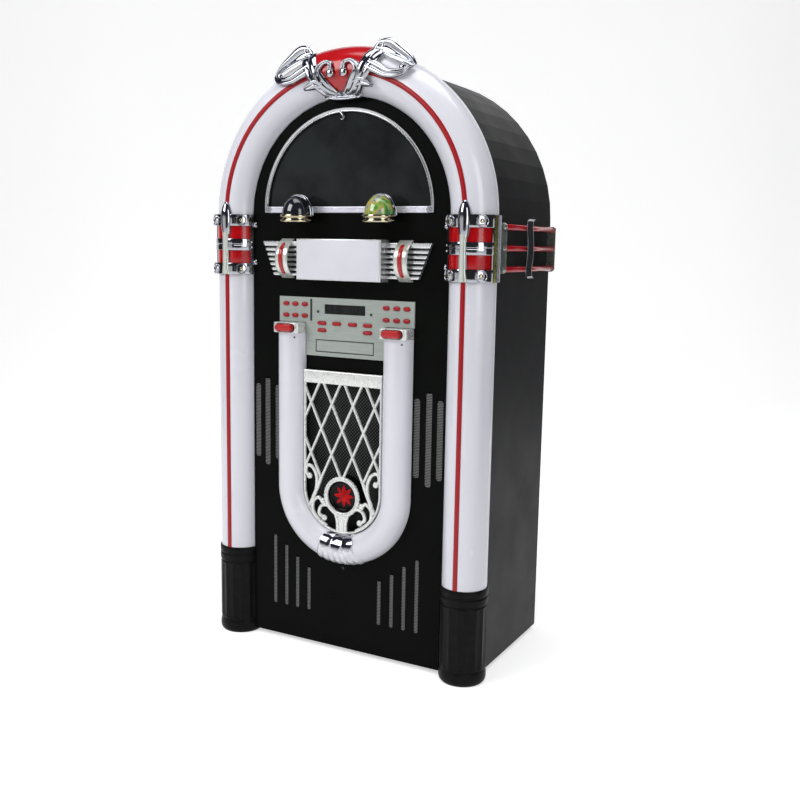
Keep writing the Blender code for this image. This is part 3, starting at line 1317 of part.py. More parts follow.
def build():
    """Make every sub-part of the jukebox."""
    clear_scene()
    make_cabinet()
    make_front_panel()
    make_back_panel()
    make_tubes()
    make_piping()
    for tag, side in (("l", -1), ("r", 1)):
        make_foot(f"foot_{tag}", side)
        make_clamp(f"clamp_{tag}", side)
        make_sleeve(f"clamp_red_{tag}", side)
        make_side_rail(f"side_rail_{tag}", side)
        make_lamp(tag, side)
        make_wing(f"wing_{tag}", side)
        make_cap(f"cap_{tag}", side)
    make_window()
    make_name_plate()
    make_u_tube()
    make_grille()
    make_medallion()
    make_speaker()
    make_control_panel()
    make_buttons()
    make_drive()
    make_dome()
    make_crest()
    make_power()


build()
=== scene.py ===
# %% [markdown]
# # Dressing a jukebox
#
# The CAD model gives every solid of this jukebox its place and its joints. This lesson dresses it:
# smooth light tubes, cast chrome, a grille with scrolls, and a finish with real detail on every surface.
# The frame is loaded once, and its box is kept, because nothing that follows may grow past it.

# %% Load the frame
import math

import bmesh
import bpy
import numpy as np
from mathutils import Matrix, Vector


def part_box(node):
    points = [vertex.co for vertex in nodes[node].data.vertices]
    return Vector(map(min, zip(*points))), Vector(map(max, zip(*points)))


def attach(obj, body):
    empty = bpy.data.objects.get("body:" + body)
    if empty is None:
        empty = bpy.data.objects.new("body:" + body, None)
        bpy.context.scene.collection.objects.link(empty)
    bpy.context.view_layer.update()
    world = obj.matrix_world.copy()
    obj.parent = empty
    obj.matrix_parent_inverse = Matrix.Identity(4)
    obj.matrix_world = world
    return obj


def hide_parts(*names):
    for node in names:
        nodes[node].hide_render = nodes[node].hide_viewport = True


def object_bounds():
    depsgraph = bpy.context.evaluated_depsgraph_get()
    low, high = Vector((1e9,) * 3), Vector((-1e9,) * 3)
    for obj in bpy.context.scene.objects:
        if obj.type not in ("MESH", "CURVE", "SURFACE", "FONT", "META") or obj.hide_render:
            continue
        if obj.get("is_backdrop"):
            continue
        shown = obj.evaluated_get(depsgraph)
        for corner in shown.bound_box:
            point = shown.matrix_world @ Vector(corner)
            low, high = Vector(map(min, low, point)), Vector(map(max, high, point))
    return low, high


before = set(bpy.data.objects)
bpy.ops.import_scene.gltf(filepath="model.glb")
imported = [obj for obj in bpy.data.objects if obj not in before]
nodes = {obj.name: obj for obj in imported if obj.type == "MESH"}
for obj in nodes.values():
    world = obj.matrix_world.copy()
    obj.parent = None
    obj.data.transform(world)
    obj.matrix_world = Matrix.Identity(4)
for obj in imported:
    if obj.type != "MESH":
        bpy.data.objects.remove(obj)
cad_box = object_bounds()

# %% [markdown]
# ## The places that the whole jukebox shares
#
# These are the same lengths as in the CAD source, in metres. The front looks along -Y, Z is up, and both
# pillars stand at PILLAR_X to the left and right. Everything on the front hangs on the board at PANEL_Y.

# %% Shared places
PILLAR_X, PILLAR_Y, TUBE_RADIUS = 0.279, -0.12525, 0.046
SPRING_Z, PANEL_Y = 0.933, -0.13875
CABINET_HALF = 0.310
CLAMP_BOTTOM, CLAMP_TOP, CLAMP_BAND = 0.808, 0.935, 0.0245
SIDES = (("l", -1), ("r", 1))
HAIR = 0.0003
print("arch springs at", SPRING_Z, "and its tube is", 2 * TUBE_RADIUS, "thick")

# %% [markdown]
# ## The camera
#
# The photograph was taken a little above the middle of the cabinet, 28 degrees round to its right. The
# camera is set by its direction and its distance from a point inside the jukebox, with a slight roll.

# %% Camera
AZIMUTH, ELEVATION, ROLL = (math.radians(a) for a in (28.2629, 8.7999, 1.0193))
TARGET = Vector((0.047114, 0.01725, 0.538682))
DISTANCE = 2.17664
back = Vector((math.sin(AZIMUTH) * math.cos(ELEVATION), -math.cos(AZIMUTH) * math.cos(ELEVATION),
               math.sin(ELEVATION)))
right = Vector((math.cos(AZIMUTH), math.sin(AZIMUTH), 0.0))
up = back.cross(right)
rolled_right = right * math.cos(ROLL) + up * math.sin(ROLL)
rolled_up = up * math.cos(ROLL) - right * math.sin(ROLL)
camera = bpy.data.objects.new("camera", bpy.data.cameras.new("camera"))
camera.data.lens, camera.data.sensor_width = 44.403, 36.0
turned_axes = Matrix((rolled_right, rolled_up, back)).transposed().to_4x4()
camera.matrix_world = Matrix.Translation(TARGET + back * DISTANCE) @ turned_axes
bpy.context.scene.collection.objects.link(camera)
bpy.context.scene.camera = camera
bpy.context.scene.view_settings.view_transform = "Standard"
print("camera at", [round(c, 3) for c in camera.location])

# %% [markdown]
# ## Node materials in one short function
#
# A real finish is never one flat number. Lacquer has faint clouds, chrome has haze, moulded plastic has a
# pebbled skin. `finish` gives each material three noises on Object coordinates: one moves the colour, one
# the roughness, and a fine one lifts the surface as a bump. A number that is the same everywhere, such as
# the coat, is set on the shader's own socket.

# %% A finish with grain


def finish(name, colour, roughness, metallic=0.0, vary=0.12, grain=30.0, stretch=(1, 1, 1), haze=0.05,
           bump=0.12, bump_grain=600.0, coat=0.0, specular=0.5):
    """A Principled material whose colour and roughness drift with noise, over a fine bump.

    colour(p) = colour * (1 ± vary * noise(grain * p)), roughness(p) = roughness ± haze * noise(grain * p)
    """
    made = bpy.data.materials.new(name)
    made.use_nodes = True
    tree = made.node_tree
    shader = tree.nodes["Principled BSDF"]
    shader.inputs["Metallic"].default_value = metallic
    shader.inputs["Coat Weight"].default_value = coat
    shader.inputs["Coat Roughness"].default_value = 0.04
    shader.inputs["Specular IOR Level"].default_value = specular
    place = tree.nodes.new("ShaderNodeTexCoord")
    mapping = tree.nodes.new("ShaderNodeMapping")
    mapping.inputs["Scale"].default_value = stretch
    tree.links.new(place.outputs["Object"], mapping.inputs["Vector"])
    clouds = tree.nodes.new("ShaderNodeTexNoise")
    clouds.inputs["Scale"].default_value = grain
    clouds.inputs["Detail"].default_value = 4.0
    tree.links.new(mapping.outputs["Vector"], clouds.inputs["Vector"])
    ramp = tree.nodes.new("ShaderNodeValToRGB")
    for stop, place_share, shade in zip(ramp.color_ramp.elements, (0.35, 0.65), (1 - vary, 1 + vary)):
        stop.position = place_share
        stop.color = (*[min(1.0, c * shade) for c in colour], 1.0)
    tree.links.new(clouds.outputs["Fac"], ramp.inputs["Fac"])
    tree.links.new(ramp.outputs["Color"], shader.inputs["Base Color"])
    spread = tree.nodes.new("ShaderNodeMapRange")
    spread.inputs["From Min"].default_value, spread.inputs["From Max"].default_value = 0.3, 0.7
    spread.inputs["To Min"].default_value = max(0.02, roughness - haze)
    spread.inputs["To Max"].default_value = roughness + haze
    tree.links.new(clouds.outputs["Fac"], spread.inputs["Value"])
    tree.links.new(spread.outputs["Result"], shader.inputs["Roughness"])
    skin = tree.nodes.new("ShaderNodeTexNoise")
    skin.inputs["Scale"].default_value = bump_grain
    tree.links.new(mapping.outputs["Vector"], skin.inputs["Vector"])
    lift = tree.nodes.new("ShaderNodeBump")
    lift.inputs["Strength"].default_value = bump
    lift.inputs["Distance"].default_value = 0.0004
    tree.links.new(skin.outputs["Fac"], lift.inputs["Height"])
    tree.links.new(lift.outputs["Normal"], shader.inputs["Normal"])
    return made


# One black lacquer in two copies: the front copy is darker as painted shade, the side copy lighter as painted
# light.
BOARD_FRONT_PAINTED_SHADE = finish("lacquered_front_painted_shade", (0.0032, 0.0038, 0.0032), 0.30, vary=0.15, grain=9, haze=0.05,
                     bump=0.04, bump_grain=260, specular=0.03)
BOARD_SIDE_PAINTED_LIGHT = finish("lacquered_side_painted_light", (0.0105, 0.0108, 0.0122), 0.42, vary=0.10, grain=12, haze=0.05,
                    bump=0.08, bump_grain=420, specular=0.10)
BOARD_BACK = finish("painted_back", (0.020, 0.020, 0.021), 0.60, vary=0.2, grain=60, bump=0.3, bump_grain=900)
TUBE_WHITE = finish("milky_tube", (0.78, 0.78, 0.85), 0.24, vary=0.012, grain=6, haze=0.04, bump=0.012,
                    bump_grain=80, coat=0.35)
PIPING_RED = finish("red_piping", (0.36, 0.003, 0.008), 0.34, vary=0.05, grain=30, coat=0.1, bump=0.03,
                    specular=0.3)
RED_GLOSS = finish("red_gloss", (0.46, 0.003, 0.006), 0.18, vary=0.08, grain=25, haze=0.03, coat=0.3,
                   bump=0.02, specular=0.4)
CHROME = finish("chrome", (0.37, 0.38, 0.41), 0.07, metallic=1.0, vary=0.04, grain=50, haze=0.04, bump=0.03,
                bump_grain=180)
WARM_CHROME_AND_PAINTED_HIGHLIGHT = finish("champagne_metal_and_painted_highlight", (0.46, 0.41, 0.28), 0.14, metallic=1.0, vary=0.06, grain=60,
                     haze=0.05, bump=0.04)
CAST_SILVER = finish("cast_silver", (0.72, 0.74, 0.72), 0.30, metallic=0.40, vary=0.08, grain=90, haze=0.08,
                     bump=0.35, bump_grain=700)
PANEL_SILVER = finish("brushed_silver", (0.36, 0.40, 0.37), 0.42, metallic=0.10, vary=0.06, grain=30,
                      stretch=(1, 1, 14), haze=0.06, bump=0.12, bump_grain=300)
FOOT_BLACK = finish("foot_plastic", (0.006, 0.0065, 0.006), 0.36, vary=0.2, grain=50, bump=0.20,
                    bump_grain=900, specular=0.07)
DARK_PLASTIC_AND_PAINTED_SHADE = finish("dark_plastic_and_painted_shade", (0.014, 0.014, 0.015), 0.45, vary=0.2, grain=70, bump=0.3,
                      bump_grain=1100)
SMOKED_GLASS = finish("smoked_glass", (0.012, 0.014, 0.015), 0.10, vary=0.6, grain=9, haze=0.03, bump=0.02,
                      specular=0.14)
DISPLAY_GLASS = finish("display_glass", (0.010, 0.012, 0.012), 0.20, vary=0.35, grain=160,
                       stretch=(1, 1, 0.2), haze=0.03, bump=0.02, specular=0.15)
PLATE_WHITE = finish("bare_plate", (0.74, 0.74, 0.81), 0.34, vary=0.02, grain=18, haze=0.05, bump=0.04,
                     bump_grain=300, coat=0.2)
PEARL = finish("pearly_shell", (0.70, 0.71, 0.76), 0.24, metallic=0.3, vary=0.10, grain=80, haze=0.06,
               coat=0.5)
GOLD_OLIVE = finish("olive_strip", (0.20, 0.20, 0.06), 0.25, metallic=0.7, vary=0.2, grain=90, haze=0.05)
GLOSS_BLACK_AND_PAINTED_SHADE = finish("gloss_black_and_painted_shade", (0.004, 0.004, 0.005), 0.18, vary=0.3, grain=60, haze=0.04, bump=0.03,
                     specular=0.12)
STRAP_PALE = finish("pale_strap", (0.62, 0.66, 0.61), 0.24, metallic=0.5, vary=0.05, grain=50, haze=0.05,
                    bump=0.04)
CIRCUIT = finish("circuit_board", (0.03, 0.12, 0.05), 0.5, vary=0.5, grain=400, bump=0.5, bump_grain=300)
PAPER_CONE = finish("paper_cone", (0.030, 0.030, 0.028), 0.85, vary=0.3, grain=300, bump=0.6, bump_grain=900)
print("finishes", len(bpy.data.materials))

# %% [markdown]
# ## The woven speaker cloth of metal
#
# Behind the grille and the vent slots stands one sheet of fine perforated metal. Two sets of diagonal
# stripes, crossed and multiplied, give its diamond weave: bright where both threads are on top.

# %% Woven metal
WEAVE_PITCH = 0.0052


def woven_metal():
    """weave(p) = stripes(x + z) * stripes(x - z), stripes repeating every WEAVE_PITCH metres."""
    made = finish("woven_metal", (0.07, 0.07, 0.075), 0.6, bump=0.3, specular=0.12)
    tree = made.node_tree
    shader = tree.nodes["Principled BSDF"]
    place = next(n for n in tree.nodes if n.type == "TEX_COORD")
    stripes = []
    for angle in (45, -45):
        turn = tree.nodes.new("ShaderNodeMapping")
        turn.inputs["Rotation"].default_value = (0.0, math.radians(angle), 0.0)
        wave = tree.nodes.new("ShaderNodeTexWave")
        wave.inputs["Scale"].default_value = math.tau / (20 * WEAVE_PITCH)
        wave.inputs["Distortion"].default_value = 0.6
        tree.links.new(place.outputs["Object"], turn.inputs["Vector"])
        tree.links.new(turn.outputs["Vector"], wave.inputs["Vector"])
        stripes.append(wave)
    crossed = tree.nodes.new("ShaderNodeMath")
    crossed.operation = "MULTIPLY"
    for index, wave in enumerate(stripes):
        tree.links.new(wave.outputs["Fac"], crossed.inputs[index])
    ramp = tree.nodes.new("ShaderNodeValToRGB")
    ramp.color_ramp.elements[0].color = (0.004, 0.004, 0.004, 1.0)
    ramp.color_ramp.elements[1].color = (0.105, 0.108, 0.11, 1.0)
    tree.links.new(crossed.outputs["Value"], ramp.inputs["Fac"])
    tree.links.new(ramp.outputs["Color"], shader.inputs["Base Color"])
    lift = next(n for n in tree.nodes if n.type == "BUMP")
    tree.links.new(crossed.outputs["Value"], lift.inputs["Height"])
    return made


WOVEN_METAL = woven_metal()
print("weave pitch", WEAVE_PITCH)

# %% [markdown]
# ## The painted glints on one dome lamp
#
# One dome lamp shows green, yellow and blue patches: painted reflections, coloured glints put into the
# glass's colour. A noise with a ramp of several colours gives the patches.

# %% Dome glass


def patched_glass(name, stops):
    """colour(p) = ramp(noise(p)), a ramp with one stop for each patch colour."""
    made = finish(name, (0.02, 0.02, 0.02), 0.07, coat=1.0, haze=0.02, bump=0.0)
    tree = made.node_tree
    ramp = next(n for n in tree.nodes if n.type == "VALTORGB")
    clouds = next(n for n in tree.nodes if n.type == "TEX_NOISE" and n.inputs["Detail"].default_value > 3)
    clouds.inputs["Scale"].default_value = 34.0
    clouds.inputs["Distortion"].default_value = 1.2
    while len(ramp.color_ramp.elements) < len(stops):
        ramp.color_ramp.elements.new(1.0)
    for element, (position, colour) in zip(ramp.color_ramp.elements, stops):
        element.position = position
        element.color = (*colour, 1.0)
    return made


DARK_STOPS = ((0.3, (0.003, 0.003, 0.004)), (0.6, (0.012, 0.014, 0.02)), (0.8, (0.03, 0.03, 0.05)))
# These patches are painted reflections: coloured glints in the colour of the right dome's glass.
PAINTED_GLINT_STOPS = ((0.30, (0.02, 0.10, 0.02)), (0.42, (0.10, 0.34, 0.05)), (0.50, (0.36, 0.40, 0.10)),
             (0.58, (0.50, 0.38, 0.10)), (0.66, (0.16, 0.30, 0.34)), (0.78, (0.05, 0.08, 0.30)))
DOME_GLASS_AND_PAINTED_GLINTS = {"l": patched_glass("dark_dome", DARK_STOPS), "r": patched_glass("dome_painted_glints", PAINTED_GLINT_STOPS)}
print("dome lamps", list(DOME_GLASS_AND_PAINTED_GLINTS))

# %% [markdown]
# ## Shapes from arrays
#
# Every new piece is one or more skins. A skin is an array of rings: ring u has its points v, and faces join
# each ring to the next. Rings that end get a flat cap: one more ring, drawn in to its own middle, which the
# merge then turns into a fan. `make` joins skins into one mesh, welds it, faces it outward and hangs it on
# its body.

# %% Helpers for skins


def skin_faces(rings, points, closed):
    """Faces between ring u and u + 1, point v and v + 1, both counted round where they close."""
    u = np.arange(rings if closed else rings - 1)[:, None]
    v = np.arange(points)[None, :]
    after_u, after_v = (u + 1) % rings, (v + 1) % points
    corners = (u * points + v, u * points + after_v, after_u * points + after_v, after_u * points + v)
    return np.stack(np.broadcast_arrays(*corners), axis=-1).reshape(-1, 4)


def capped(rings):
    """Add to each end of a row of rings the same ring drawn in to its middle."""
    ends = [np.repeat(rings[k:k + 1].mean(axis=1, keepdims=True), rings.shape[1], axis=1)
            for k in (0, len(rings) - 1)]
    return np.concatenate([ends[0], rings, ends[1]])


def fill_mesh(mesh, points, faces):
    """Put whole arrays of points and four-cornered faces into a mesh."""
    mesh.vertices.add(len(points))
    mesh.vertices.foreach_set("co", points.astype(np.float32).ravel())
    mesh.loops.add(faces.size)
    mesh.loops.foreach_set("vertex_index", faces.astype(np.int32).ravel())
    mesh.polygons.add(len(faces))
    mesh.polygons.foreach_set("loop_start", np.arange(0, faces.size, 4, dtype=np.int32))
    mesh.update(calc_edges=True)


def make(name, skins, material, body="cabinet", stands_for=(), hard=38.0):
    """One piece from its skins: (rings, points, 3) arrays. An array in a tuple closes on itself."""
    points, faces, count = [], [], 0
    for item in skins:
        closed = isinstance(item, tuple)
        rings = item[0] if closed else capped(item)
        faces.append(skin_faces(rings.shape[0], rings.shape[1], closed) + count)
        points.append(rings.reshape(-1, 3))
        count += rings.shape[0] * rings.shape[1]
    mesh = bpy.data.meshes.new(name)
    fill_mesh(mesh, np.concatenate(points), np.concatenate(faces))
    working = bmesh.new()
    working.from_mesh(mesh)
    bmesh.ops.remove_doubles(working, verts=working.verts, dist=2e-6)
    bmesh.ops.recalc_face_normals(working, faces=working.faces)
    working.to_mesh(mesh)
    working.free()
    mesh.shade_smooth()
    mesh.set_sharp_from_angle(angle=math.radians(hard))
    mesh.materials.append(material)
    made = bpy.data.objects.new(name, mesh)
    bpy.context.scene.collection.objects.link(made)
    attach(made, body)
    if stands_for:
        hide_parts(*stands_for)
    print(f"{name}: {len(mesh.polygons)} faces")
    return made


def dress(material, *names):
    """Give CAD nodes that stay a finish."""
    for name in names:
        for socket in nodes[name].material_slots:
            socket.material = material


# %% Helpers for paths and sections


def arc(middle_x, middle_z, radius, start, end, steps):
    """(x, z) = middle + radius * (cos a, sin a), a from start to end degrees."""
    turn = np.radians(np.linspace(start, end, steps + 1))
    return np.column_stack([middle_x + radius * np.cos(turn), middle_z + radius * np.sin(turn)])


def circle(radius, sides, squash=1.0, start=0.0):
    """(a, b) = radius * (cos t, squash * sin t) round a full turn."""
    turn = start + np.arange(sides) * math.tau / sides
    return np.column_stack([radius * np.cos(turn), radius * squash * np.sin(turn)])


def through(points, steps):
    """A smooth curve through points: Catmull-Rom, which leaves each point along its neighbours' chord."""
    points = np.asarray(points, float)
    wide = np.vstack([2 * points[0] - points[1], points, 2 * points[-1] - points[-2]])
    before, start, end, after = wide[:-3], wide[1:-2], wide[2:-1], wide[3:]
    t = (np.arange(steps) / steps)[None, :, None]
    a, b, c, d = (w[:, None, :] for w in (before, start, end, after))
    curve = b + t * ((c - a) + t * ((2 * a - 5 * b + 4 * c - d) + t * (3 * b - a - 3 * c + d))) / 2
    return np.vstack([curve.reshape(-1, points.shape[1]), points[-1:]])


def carry(path, across, lift, section):
    """point(u, v) = path(u) + across(u) * a(v) + lift(u) * b(v), for a section of (a, b) points."""
    section = np.asarray(section, float)
    if section.ndim == 2:
        section = np.broadcast_to(section, (len(path), *section.shape))
    return path[:, None, :] + across[:, None, :] * section[:, :, :1] + lift[:, None, :] * section[:, :, 1:]


def front_rail(line, y, section):
    """Carry a section along an (x, z) line at a depth y: a is across the line, b toward the viewer."""
    line = np.asarray(line, float)
    ahead = np.gradient(line, axis=0)
    ahead /= np.linalg.norm(ahead, axis=1)[:, None]
    flat = np.zeros(len(line))
    path = np.column_stack([line[:, 0], flat + y, line[:, 1]])
    across = np.column_stack([-ahead[:, 1], flat, ahead[:, 0]])
    return carry(path, across, np.column_stack([flat, flat - 1, flat]), section)


def turned(profile, x, y, sides=64, start=0.0):
    """A turned piece on an upright axis: ring u has radius r(u) at height z(u)."""
    profile = np.asarray(profile, float)
    ring = circle(1.0, sides, start=start)
    flat = profile[:, :1, None] * ring[None, :, :]
    height = np.broadcast_to(profile[:, 1, None, None], (len(profile), sides, 1))
    return np.concatenate([flat + np.array([x, y]), height], axis=2)


def slab_skin(outline, front, rear, edge=0.0006):
    """A plate from an (x, z) outline between two depths, with its front edge taken off."""
    outline = np.asarray(outline, float)
    middle = outline.mean(axis=0)
    inward = middle - outline
    inward /= np.linalg.norm(inward, axis=1)[:, None]
    rings = []
    for y, inset in ((rear, 0.0), (front + edge, 0.0), (front, edge)):
        flat = outline + inward * inset
        rings.append(np.column_stack([flat[:, 0], np.full(len(flat), y), flat[:, 1]]))
    return np.array(rings)


print("helpers ready")

# %% [markdown]
# ## Light tubes
#
# The arch and the pillars are milky plastic tubes lit from inside. On a bench the arch is bent hot over a
# former; here a circle is carried round the same half circle. The ends are drawn in slightly, because a cut
# tube is always deburred. Red piping sits on the front of each tube as a soft half-round strip.

# %% Tubes and piping
ARCH = np.vstack([[(-PILLAR_X, 0.8716), (-PILLAR_X, 0.9)], arc(0, SPRING_Z, PILLAR_X, 180, 0, 128),
                  [(PILLAR_X, 0.9), (PILLAR_X, 0.8716)]])
make("arch_tube_skin", [front_rail(ARCH, PILLAR_Y, circle(TUBE_RADIUS, 72))], TUBE_WHITE,
     stands_for=("arch_tube",), hard=60)
t = np.linspace(0, math.pi, 15)
BEAD = np.column_stack([0.005 * np.cos(t), 0.0002 + 0.00225 * np.sin(t)])
BEAD = np.vstack([BEAD, [(-0.005, -0.0004), (0.005, -0.0004)]])
PIPING_Y = PILLAR_Y - TUBE_RADIUS
for tag, side in SIDES:
    x = side * PILLAR_X
    tube = [(0.0446, 0.1803), (0.046, 0.1818), (0.046, 0.35), (0.046, 0.70), (0.046, 0.8698),
            (0.0446, 0.8713)]
    make(f"pillar_tube_skin_{tag}", [turned(tube, x, PILLAR_Y, 72)], TUBE_WHITE,
         stands_for=(f"pillar_tube_{tag}",))
    run = np.column_stack([np.full(9, x), np.linspace(0.2005, 0.8075, 9)])
    make(f"piping_strip_{tag}", [front_rail(run, PIPING_Y, BEAD)], PIPING_RED, stands_for=(f"piping_{tag}",))
over = ARCH[(ARCH[:, 1] > 0.9353)]
make("piping_strip_arch", [front_rail(over, PIPING_Y, BEAD)], PIPING_RED, stands_for=("piping_arch",))

# %% [markdown]
# ## Fluted feet
#
# Each pillar stands in a moulded foot with sixteen hollows. A hollow is a cosine without its sign:
# radius(a) = R - inset - depth * |cos(8a)|, which leaves a sharp ridge wherever the cosine passes zero.

# %% Feet
FLUTES, FLUTE_DEPTH, FOOT_RADIUS = 16, 0.0016, 0.049
FOOT_RINGS = ((0, 0.0050, 0), (0.004, 0.0018, 0), (0.006, 0.0010, 0), (0.009, 0.0002, 0), (0.014, 0, 0),
              (0.020, 0.0002, 0), (0.026, 0.0014, 0), (0.029, 0.0026, 0), (0.031, 0.0026, 0),
              (0.033, 0.0010, 0.2), (0.036, 0.0008, 1), (0.060, 0.0008, 1), (0.100, 0.0008, 1),
              (0.158, 0.0008, 1), (0.161, 0.0010, 0.2), (0.1635, 0.0026, 0), (0.1655, 0.0026, 0),
              (0.168, 0.0004, 0), (0.171, 0, 0), (0.1795, 0, 0), (0.1815, 0.0020, 0),
              (0.1840, 0.0020, 0), (0.186, 0.0002, 0), (0.188, 0, 0), (0.1975, 0, 0), (0.1995, 0.0009, 0),
              (0.200, 0.0016, 0), (0.200, 0.0026, 0), (0.182, 0.0027, 0))


def fluted(rings, x, y, sides=192):
    """radius(z, a) = FOOT_RADIUS - inset(z) - fluted(z) * FLUTE_DEPTH * |cos(FLUTES * a / 2)|."""
    z, inset, share = np.array(rings, float).T[:, :, None]
    turn = np.arange(sides)[None, :] * math.tau / sides
    radius = FOOT_RADIUS - inset - share * FLUTE_DEPTH * np.abs(np.cos(FLUTES * turn / 2))
    return np.stack([x + radius * np.cos(turn), y + radius * np.sin(turn), z + 0 * turn], axis=-1)


for tag, side in SIDES:
    make(f"foot_skin_{tag}", [fluted(FOOT_RINGS, side * PILLAR_X, PILLAR_Y)], FOOT_BLACK,
         stands_for=(f"foot_{tag}",), hard=30)

# %% [markdown]
# ## Clamps
#
# A cast chrome frame grips the tube joint: three bands, uprights between them, and a pointed strip in front.
# Each band is a section with rounded edges carried round the tube's axis. Angles are counted from the
# outward side, so -90 looks at the viewer on both clamps. Four round sockets look out beside the strip. The
# dark eye in each socket is painted shade, and the champagne pad on it is a painted highlight. Red sleeves
# show in the windows between the bands.

# %% Clamp shapes
CLAMP_FROM, CLAMP_TO = -162.0, 36.0
CLAMP_INNER, CLAMP_OUTER = 0.0489, 0.0517


def axis_wrap(side, section, start, end, steps=56):
    """point(u, v) = axis + r(v) * (side * cos a(u), sin a(u)) at height z(v); the section is (r, z)."""
    r, z = np.asarray(section, float).T[:, None, :]
    turn = np.radians(np.linspace(start, end, steps + 1))[:, None]
    return np.stack([side * PILLAR_X + side * r * np.cos(turn), PILLAR_Y + r * np.sin(turn), z + 0 * turn],
                    axis=-1)


def band_section(low, high, inner, outer, edge=0.0012, groove=0.0):
    """A band's outline as (r, z), with its outer corners taken round and a shallow groove at mid height."""
    middle = (low + high) / 2
    return [(inner, low), (outer - edge, low), (outer - edge * 0.3, low + edge * 0.3), (outer, low + edge),
            (outer, middle - 0.0022), (outer - groove, middle - 0.0012), (outer - groove, middle + 0.0012),
            (outer, middle + 0.0022), (outer, high - edge), (outer - edge * 0.3, high - edge * 0.3),
            (outer - edge, high), (inner, high)]


def radial_turned(side, turn, z, profile, sides=40):
    """A turned piece whose axis looks out of the clamp: ring u has radius r(u) at reach h(u)."""
    out = np.array([side * math.cos(turn), math.sin(turn), 0.0])
    aside = np.array([-side * math.sin(turn), math.cos(turn), 0.0])
    ring = circle(1.0, sides)
    middle = np.array([side * PILLAR_X, PILLAR_Y, z])
    flat = ring[:, :1] * aside + ring[:, 1:] * np.array([0.0, 0.0, 1.0])
    return np.array([middle + out * h + flat * r for r, h in profile])


SOCKET_PROFILE = ((0.0121, 0.0490), (0.0121, 0.0540), (0.0119, 0.0553), (0.0114, 0.0560), (0.0108, 0.0561),
                  (0.0102, 0.0556), (0.0098, 0.0545), (0.0096, 0.0530), (0.0094, 0.0505), (0.0093, 0.0495))
# The dark eye inside each socket is painted shade; the champagne pad at its middle is a painted highlight.
PAINTED_SHADE_EYE_PROFILE = ((0.0093, 0.0490), (0.0093, 0.0500), (0.0075, 0.0508), (0.0050, 0.0512), (0.0025, 0.0514),
               (0.0006, 0.0514))
PAINTED_HIGHLIGHT_PAD_PROFILE = ((0.0042, 0.0500), (0.0042, 0.0526), (0.0036, 0.0536), (0.0024, 0.0541), (0.0006, 0.0543))
BULLET_LOW, BULLET_TOP, BULLET_SWELL = 0.893, 0.9628, 0.926
BULLET_HALF, BULLET_REAR, BULLET_FRONT, STRIP_FRONT = 0.0135, -0.1690, -0.1828, -0.1802
STRIP_WIDTHS = ((0.8085, 0.0098), (0.8130, 0.0096), (0.8220, 0.0084), (0.8350, 0.0074), (0.8600, 0.0070),
                (0.8850, 0.0072), (0.8980, 0.0078))


def bullet(x):
    """share(z) = 1 - k * ((z - swell) / reach)^2, with k = 1 above the swell and 0.35 below."""
    z = BULLET_LOW + (BULLET_TOP - BULLET_LOW) * np.sin(np.radians(np.linspace(0, 89, 34)))
    above = np.clip((z - BULLET_SWELL) / (BULLET_TOP - BULLET_SWELL), 0, 1)
    below = np.clip((BULLET_SWELL - z) / (BULLET_SWELL - BULLET_LOW), 0, 1)
    share = np.clip(1 - above ** 2, 0.002, 1) ** 0.62 * (1 - 0.30 * below ** 2)
    t = np.linspace(0, math.pi, 21)
    wide = BULLET_HALF * share[:, None] * np.cos(t)
    proud = BULLET_REAR + (BULLET_FRONT - BULLET_REAR) * share[:, None] ** 0.7 * np.sin(t) ** 0.8
    return np.stack([x + wide, proud, z[:, None] + 0 * t], axis=-1)


def bullet_strip(x):
    """The strip under the bullet: its half width is read from a table up its height."""
    z, half = through(STRIP_WIDTHS, 4).T
    t = np.linspace(0, math.pi, 17)
    wide = half[:, None] * np.sign(np.cos(t)) * np.abs(np.cos(t)) ** 0.6
    proud = BULLET_REAR + (STRIP_FRONT - BULLET_REAR) * np.sin(t) ** 0.45
    return np.stack([x + wide, proud + 0 * wide, z[:, None] + 0 * t], axis=-1)


